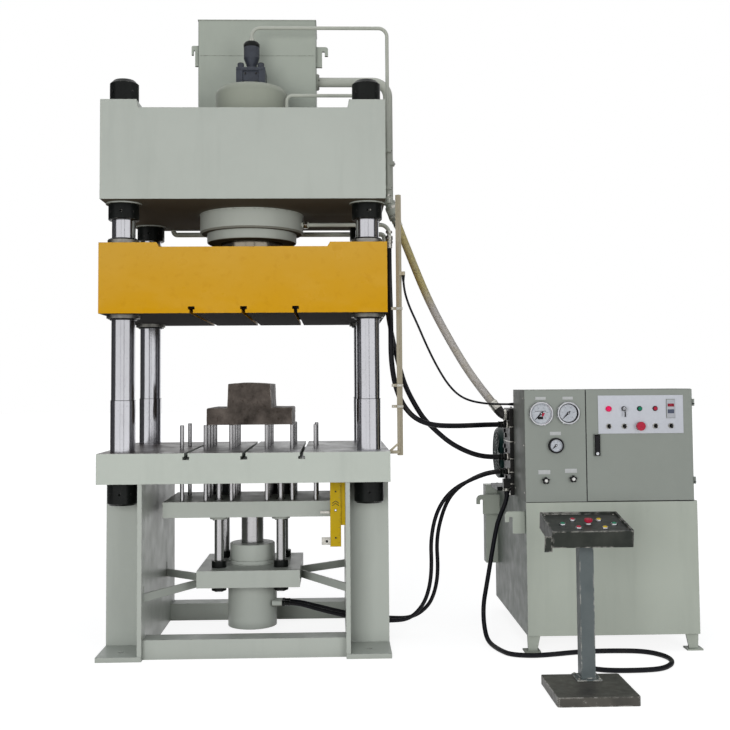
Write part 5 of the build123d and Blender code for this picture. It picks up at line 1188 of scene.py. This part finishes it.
def gauge_dial(index, x, z, d, step):
    """One gauge's dial with its graduations, numbers and inner ring."""
    place = front(x, GAUGE_FACE, z)
    r = d / 2 - 0.0095
    first, sweep, marks, numbers = 225, 270, 50, 5
    paper = Build()
    paper.lathe([(0.0046, 0.0), (r, 0.0), (r, 0.0004), (0.0046, 0.0004)], place, 64)
    paper.done(f"dial_{index}", "dial")
    ink = Build()
    for k in range(marks + 1):
        length, half = (0.16, 0.0004) if k % 10 == 0 else (0.1, 0.0002) if k % 5 == 0 else (0.06, 0.0002)
        a = radians(first - sweep * k / marks)
        turn = front(x, GAUGE_FACE - 0.0004, z) @ Matrix.Rotation(a, 4, "Z")
        ink.box((r * (0.9 - length), -half, 0.0), (r * 0.9, half, 0.0003), 0, turn)
    for k in range(numbers + 1):
        a = radians(first - sweep * k / numbers)
        digits(ink, str(step * k), x + r * 0.6 * cos(a), GAUGE_FACE - 0.0006, z + r * 0.6 * sin(a), r * 0.14)
    ink.ring([(r * 0.905, 0.0004), (r * 0.92, 0.0004), (r * 0.92, 0.0007), (r * 0.905, 0.0007)], place, 64)
    ink.done(f"dial_marks_{index}", "black_plastic")


def gauge_details():
    """Dials, bayonet rims, the contact gauge's dark parts and red pointer, and the small gauge's rim."""
    for i, gauge in enumerate(GAUGES):
        gauge_dial(i + 1, *gauge)
    rims, dark, red = Build(), Build(), Build()
    contact, middle, small = [(x, z, d / 2) for x, z, d, _ in GAUGES]
    for x, z, r in (contact, middle):
        rims.ring([(r - 0.0095, 0.0), (r - 0.008, 0.0022), (r - 0.001, 0.0022), (r + 0.0012, -0.001),
                   (r + 0.0012, -0.018), (r - 0.0005, -0.018), (r - 0.0005, -0.003)],
                  front(x, GAUGE_RIM, z), 72)
        for k in range(8):
            turn = front(x, -0.592, z) @ Matrix.Rotation(tau * k / 8 + 0.3, 4, "Z")
            rims.box((r, -0.006, -0.004), (r + 0.003, 0.006, 0.004), 0.0008, turn)
    rims.done("gauge_rims", "chrome")
    x, z, r = small
    dark.ring([(r - 0.0095, 0.0), (r - 0.007, 0.0018), (r - 0.001, 0.0018), (r + 0.001, -0.001),
               (r + 0.001, -0.0215), (r - 0.0005, -0.0215), (r - 0.0005, -0.003)], front(x, GAUGE_RIM, z), 64)
    x, z, r = middle
    dark.ring([(r - 0.0105, 0.0), (r - 0.0145, 0.0), (r - 0.0145, 0.004), (r - 0.0105, 0.010)],
              front(x, -0.5885, z), 72)
    x, z = contact[:2]
    dark.box((x - 0.022, -0.5905, z - 0.036), (x + 0.012, -0.5885, z - 0.018))
    dark.box((x - 0.040, -0.5900, z + 0.014), (x + 0.034, -0.5885, z + 0.017), 0.0003)
    dark.done("gauge_dark_rims", "black_plastic")
    red.prism([(-0.013, 0.006), (0.0, -0.016), (0.013, 0.006), (0.008, 0.012), (0.0, 0.009), (-0.008, 0.012)],
              0.0020, front(x + 0.011, -0.5890, z - 0.006), 0.0006)
    red.done("contact_pointer", "red")


def label_strips():
    """The bare label strips above the gauges and the knobs."""
    build = Build()
    for x, z, w, h in ((1.879, 1.6, 0.066, 0.018), (2.053, 1.6, 0.066, 0.018), (1.971, 1.376, 0.07, 0.022),
                       (1.896, 1.132, 0.076, 0.026), (2.066, 1.139, 0.076, 0.026)):
        build.box((x - w / 2, -0.5782, z - h / 2), (x + w / 2, -0.5769, z + h / 2), 0.0004)
    build.done("label_strips", "label")


def control_places():
    """The operator panel's two rows of controls, across and up."""
    return [[(2.313 + 0.1 * i, z) for i in range(count)] for count, z in ((4, 1.530), (5, 1.419))]


def bezel(build, x, z, r):
    """A thin ring on a control's collar."""
    build.ring([(0.0123, 0.0), (0.0127, 0.0014), (r - 0.001, 0.0014), (r + 0.0008, -0.001),
                (r + 0.0008, -0.0078), (r - 0.0005, -0.0078), (r - 0.0005, -0.001)],
               front(x, COLLAR_FACE, z), 40)


def operator_panel():
    """The operator panel's sheet, its bezels, the lamp's lens, the hanging key and the counter."""
    plate("panel_sheet", "panel", "door", (2.2464, -0.5794, 1.3724), (2.7946, -0.5786, 1.6146), 0.0003)
    top, low = control_places()
    bright, dark, lens, key, lit = [Build() for i in range(5)]
    for x, z in low:
        bezel(bright, x, z, 0.0165)
    for x, z in top[1:]:
        bezel(dark, x, z, 0.0155)
    bright.done("control_bezels", "zinc", "door")
    dark.done("button_collars", "black_plastic", "door")
    x, z = top[0]
    lens.lathe([(0.0158, 0.0), (0.0185, 0.0), (0.0185, 0.011), (0.0168, 0.0155), (0.0115, 0.0190),
                (0.0055, 0.0208), (0, 0.0213)], front(x, -0.5796, z), 48)
    lens.done("lamp_lens", "lamp", "door")
    x, z = top[1]
    key.ring([(0.0055, 0.0), (0.0072, 0.0), (0.0072, 0.0012), (0.0055, 0.0012)],
             front(x, -0.6068, z - 0.012), 24)
    key.box((x - 0.0042, -0.6062, z - 0.052), (x + 0.0042, -0.6046, z - 0.019), 0.0005)
    key.done("hanging_key", "screw", "key")
    plate("counter_frame", "grey_plastic", "door", (2.6872, -0.5866, 1.4702),
          (2.7398, -0.5853, 1.5855), 0.0006)
    windows = (("top", "red_window", 1.551, 0.0098), ("low", "dark_window", 1.511, 0.0128))
    for side, finish, z, half in windows:
        plate(f"counter_window_{side}", finish, "door", (2.6925, -0.5874, z - half),
              (2.7345, -0.5863, z + half), 0.0004)
    digits(lit, "0000", 2.7135, -0.5875, 1.551, 0.010)
    lit.done("counter_digits", "digit", "door")


def handle_details():
    """The lever's black plate with its round lock, and the rings on the door's hinges."""
    plate("lever_plate", "black_plastic", "door", (2.2160, -0.5910, 1.2310), (2.2560, -0.5793, 1.3700), 0.002)
    lock, rings = Build(), Build()
    lock.lathe([(0, 0), (0.0085, 0), (0.0095, 0.001), (0.0095, 0.002), (0.0045, 0.0022), (0.0040, 0.0012),
                (0, 0.0012)], front(2.236, -0.5910, 1.247), 28)
    lock.done("lever_lock", "chrome", "door")
    for z in (1.058, 1.555):
        rings.ring([(0.0071, 0.0), (0.0084, 0.001), (0.0084, 0.006), (0.0071, 0.007)],
                   upright(2.860, -0.580, z))
    rings.done("hinge_rings", "screw")


def flow_knob_caps():
    """The white discs on the caps of the two flow knobs."""
    for i, (x, z) in enumerate(((1.901, 1.080), (2.076, 1.089))):
        build = Build()
        build.lathe([(0, 0), (0.0102, 0.0), (0.0102, 0.0072), (0.0092, 0.009), (0, 0.0092)],
                    front(x, -0.6055, z))
        build.done(f"flow_cap_{i + 1}", "white", f"flow_{i + 1}")


def cabinet_details():
    """Folded edges, the gaps over the tank and beside the door, screws, tank lid and hook welds."""
    folds, gaps, screws = Build(), Build(), Build()
    folds.box((1.7762, -0.5776, 1.6515), (2.1668, -0.5768, 1.6545), 0.0005)
    folds.box((1.7756, -0.576, 0.9432), (1.7764, -0.178, 1.654), 0.0003)
    folds.done("cabinet_folds", "cabinet")
    gaps.box((1.777, -0.5775, 0.9400), (2.853, -0.5762, 0.9440), 0)
    gaps.box((2.1640, -0.5775, 0.946), (2.1702, -0.560, 1.652), 0)
    gaps.done("cabinet_gaps", "black_plastic")
    for y in (-0.54, -0.22):
        for z in (1.0, 1.3, 1.6):
            hex_head(screws, along((1.7755, y, z), LEFT), 0.010, 0.003)
    for y in (0.2, 0.64):
        for x in (1.79, 2.855):
            hex_head(screws, upright(x, y, 0.9462), 0.014)
    screws.done("cabinet_screws", "zinc")
    plate("tank_lid", "tank", "frame", (1.7765, -0.17, 0.9428), (2.8715, 0.6728, 0.9465))
    for side, y in (("front", -0.517), ("rear", 0.470)):
        bead = Build()
        for dy in (-0.010, 0.010):
            weld(bead, (1.776, y + dy, 0.743), (1.776, y + dy, 0.877), 0.004, y)
        bead.done(f"hook_weld_{side}", "tank")


def panel_place():
    """The pedestal's button panel: local X right, local Y up the slope, local Z out."""
    slope = radians(PANEL_SLOPE)
    up = Vector((0, cos(slope), sin(slope)))
    out = Vector((0, -sin(slope), cos(slope)))
    return axes(Vector((POST_X, -1.5, 0.891)) - out * 0.012, RIGHT, up, out)


def pedestal_details():
    """Bright collars and corner screws on the button panel, and the post's flange with welds and bolts."""
    place = panel_place()
    rings, screws, flange, bolts = Build(), Build(), Build(), Build()
    for u, v in PEDESTAL_BUTTONS:
        height = MUSHROOM_COLLAR if (u, v) == MUSHROOM else BUTTON_COLLAR
        rings.ring([(0.0123, 0.0), (0.0128, 0.0030), (0.0165, 0.0030), (0.0188, -0.001), (0.0188, -0.0078),
                    (0.0150, -0.0078), (0.0150, -0.001)], place @ upright(u, v, height), 40)
    rings.done("pedestal_bezels", "chrome")
    for u in (-0.198, 0.198):
        for v in (0.026, 0.33):
            screw_head(screws, place @ upright(u, v, 0), 0.009, 0.004)
    screws.done("pedestal_screws", "zinc")
    x, y = POST_X, POST_Y
    flange.box((x - 0.07, y - 0.07, 0.0495), (x + 0.07, y + 0.07, 0.0580))
    for dx, dy in ((-1, -1), (1, -1), (1, 1), (-1, 1)):
        start = (x + 0.04 * dx, y + 0.04 * dy, 0.0585)
        end = (x - 0.04 * dy, y + 0.04 * dx, 0.0585)
        weld(flange, start, end, 0.004, dx)
    flange.done("pedestal_flange", "pedestal")
    for dx, dy in four(0.057, 0.057):
        hex_head(bolts, upright(x + dx, y + dy, 0.058), 0.014)
    bolts.done("pedestal_bolts", "zinc")


def worn_die():
    """The die block with its hammered, slightly uneven surface."""
    part = bmesh.new()
    half, longest_edge = 0.285, 0.02
    resting, dent, deepest = 1.439, 0.0012, 0.003
    outline = [(-0.279, 1.4372), (-0.279, 1.542), (-0.271, 1.550), (-0.1435, 1.550), (-0.1365, 1.708),
               (-0.09, 1.7125), (-0.03, 1.7162), (0.0035, 1.717), (0.037, 1.7162), (0.097, 1.7125),
               (0.1435, 1.708), (0.1505, 1.550), (0.278, 1.550), (0.286, 1.542), (0.286, 1.4372)]
    rows = [[part.verts.new((x, y, z)) for x, z in outline] for y in (-half, half)]
    part.faces.new(rows[0])
    part.faces.new(rows[1])
    for i in range(len(outline)):
        j = (i + 1) % len(outline)
        part.faces.new((rows[0][i], rows[0][j], rows[1][j], rows[1][i]))
    bmesh.ops.recalc_face_normals(part, faces=part.faces[:])
    bevelled(part, [e for e in part.edges if e.calc_face_angle(0) > radians(40)], 0.0035, 2)
    bmesh.ops.triangulate(part, faces=part.faces[:])
    for step in range(5):
        long = [e for e in part.edges if e.calc_length() > longest_edge]
        if not long:
            break
        bmesh.ops.subdivide_edges(part, edges=long, cuts=1)
        bmesh.ops.triangulate(part, faces=part.faces[:])
    part.normal_update()
    for vert in part.verts:
        if vert.co.z < resting:
            continue
        depth = dent * noise.fractal(vert.co * 14, 0.8, 2.0, 4) - dent
        vert.co += vert.normal * max(min(depth, 0.0), -deepest)
    piece = Build().take(part).done("worn_die_block", "die", "ejector", 30)
    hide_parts("die_block")


def stage_sheet(name, corners, material):
    """A flat sheet that isn't part of the object."""
    data = bpy.data.meshes.new(name)
    data.from_pydata(corners, [], [(0, 1, 2, 3)])
    data.materials.append(material)
    sheet = placed(name, data)
    return sheet


def make_screens():
    """Dark screens that only polished steel sees: their place across, and their front and rear ends."""
    low, high, slant = -1, 6, 0.4
    places = ((-5.5, -2.6, 8.0), (6.5, -2.6, 8.0), (-2.9, -8.6, -8.0), (1.9, -9.0, -8.6))
    for k, (x, near, far) in enumerate(places):
        corners = [(x, near, low), (x + slant, far, low), (x + slant, far, high), (x, near, high)]
        screen = stage_sheet(f"screen_{k}", corners, MATERIALS["screen"])
        screen.visible_camera = False
        screen.visible_diffuse = False
        screen.visible_shadow = False
        screen.visible_transmission = False


def make_lamps():
    """Soft square lamps: their place, what they point at, size and power."""
    for name, spot, aim, size, power in (
        ("key", (-1.6, -8.4, 1.75), (0.5, 0, 1.2), 3.4, 350),
        ("fill", (4.9, -7.4, 1.8), (1.6, 0, 1.0), 3.4, 170),
        ("top", (0.5, -0.5, 8.5), (0.8, 0, 0), 5.0, 110),
    ):
        data = bpy.data.lights.new(name, "AREA")
        data.shape = "SQUARE"
        data.size = size
        data.energy = power
        lamp = placed(name, data)
        lamp.matrix_world = along(spot, Vector(spot) - Vector(aim))
        lamp.visible_glossy = False


def make_stage():
    """The floor, screens, lamps and world."""
    stage_sheet("floor", [(-40, -30, 0), (40, -30, 0), (40, 60, 0), (-40, 60, 0)], floor_finish())
    make_screens()
    make_lamps()
    world = bpy.data.worlds.new("world")
    bpy.context.scene.world = world
    world.use_nodes = True
    tree = world.node_tree
    tree.nodes.clear()
    plain = add_node(tree, "ShaderNodeBackground", {"Color": (1, 1, 1, 1)})
    soft = add_node(tree, "ShaderNodeBackground", {"Color": (0.92, 0.95, 1.0, 1), "Strength": 0.38})
    choose_by_ray(tree, soft, plain, "ShaderNodeOutputWorld")
    bpy.context.scene.view_settings.view_transform = "Standard"


def main():
    """The camera, the cords, the materials, every detail and the stage."""
    make_camera()
    lay_cords()
    dress_nodes()
    crown_details()
    boss_seals()
    valve_details()
    upper_tank_details()
    pipe_details()
    cylinder_details()
    leg_details()
    ejector_details()
    stroke_rail_details()
    post_details()
    motor_details()
    manifold_details()
    gauge_details()
    label_strips()
    operator_panel()
    handle_details()
    flow_knob_caps()
    cabinet_details()
    pedestal_details()
    worn_die()
    make_stage()


main()
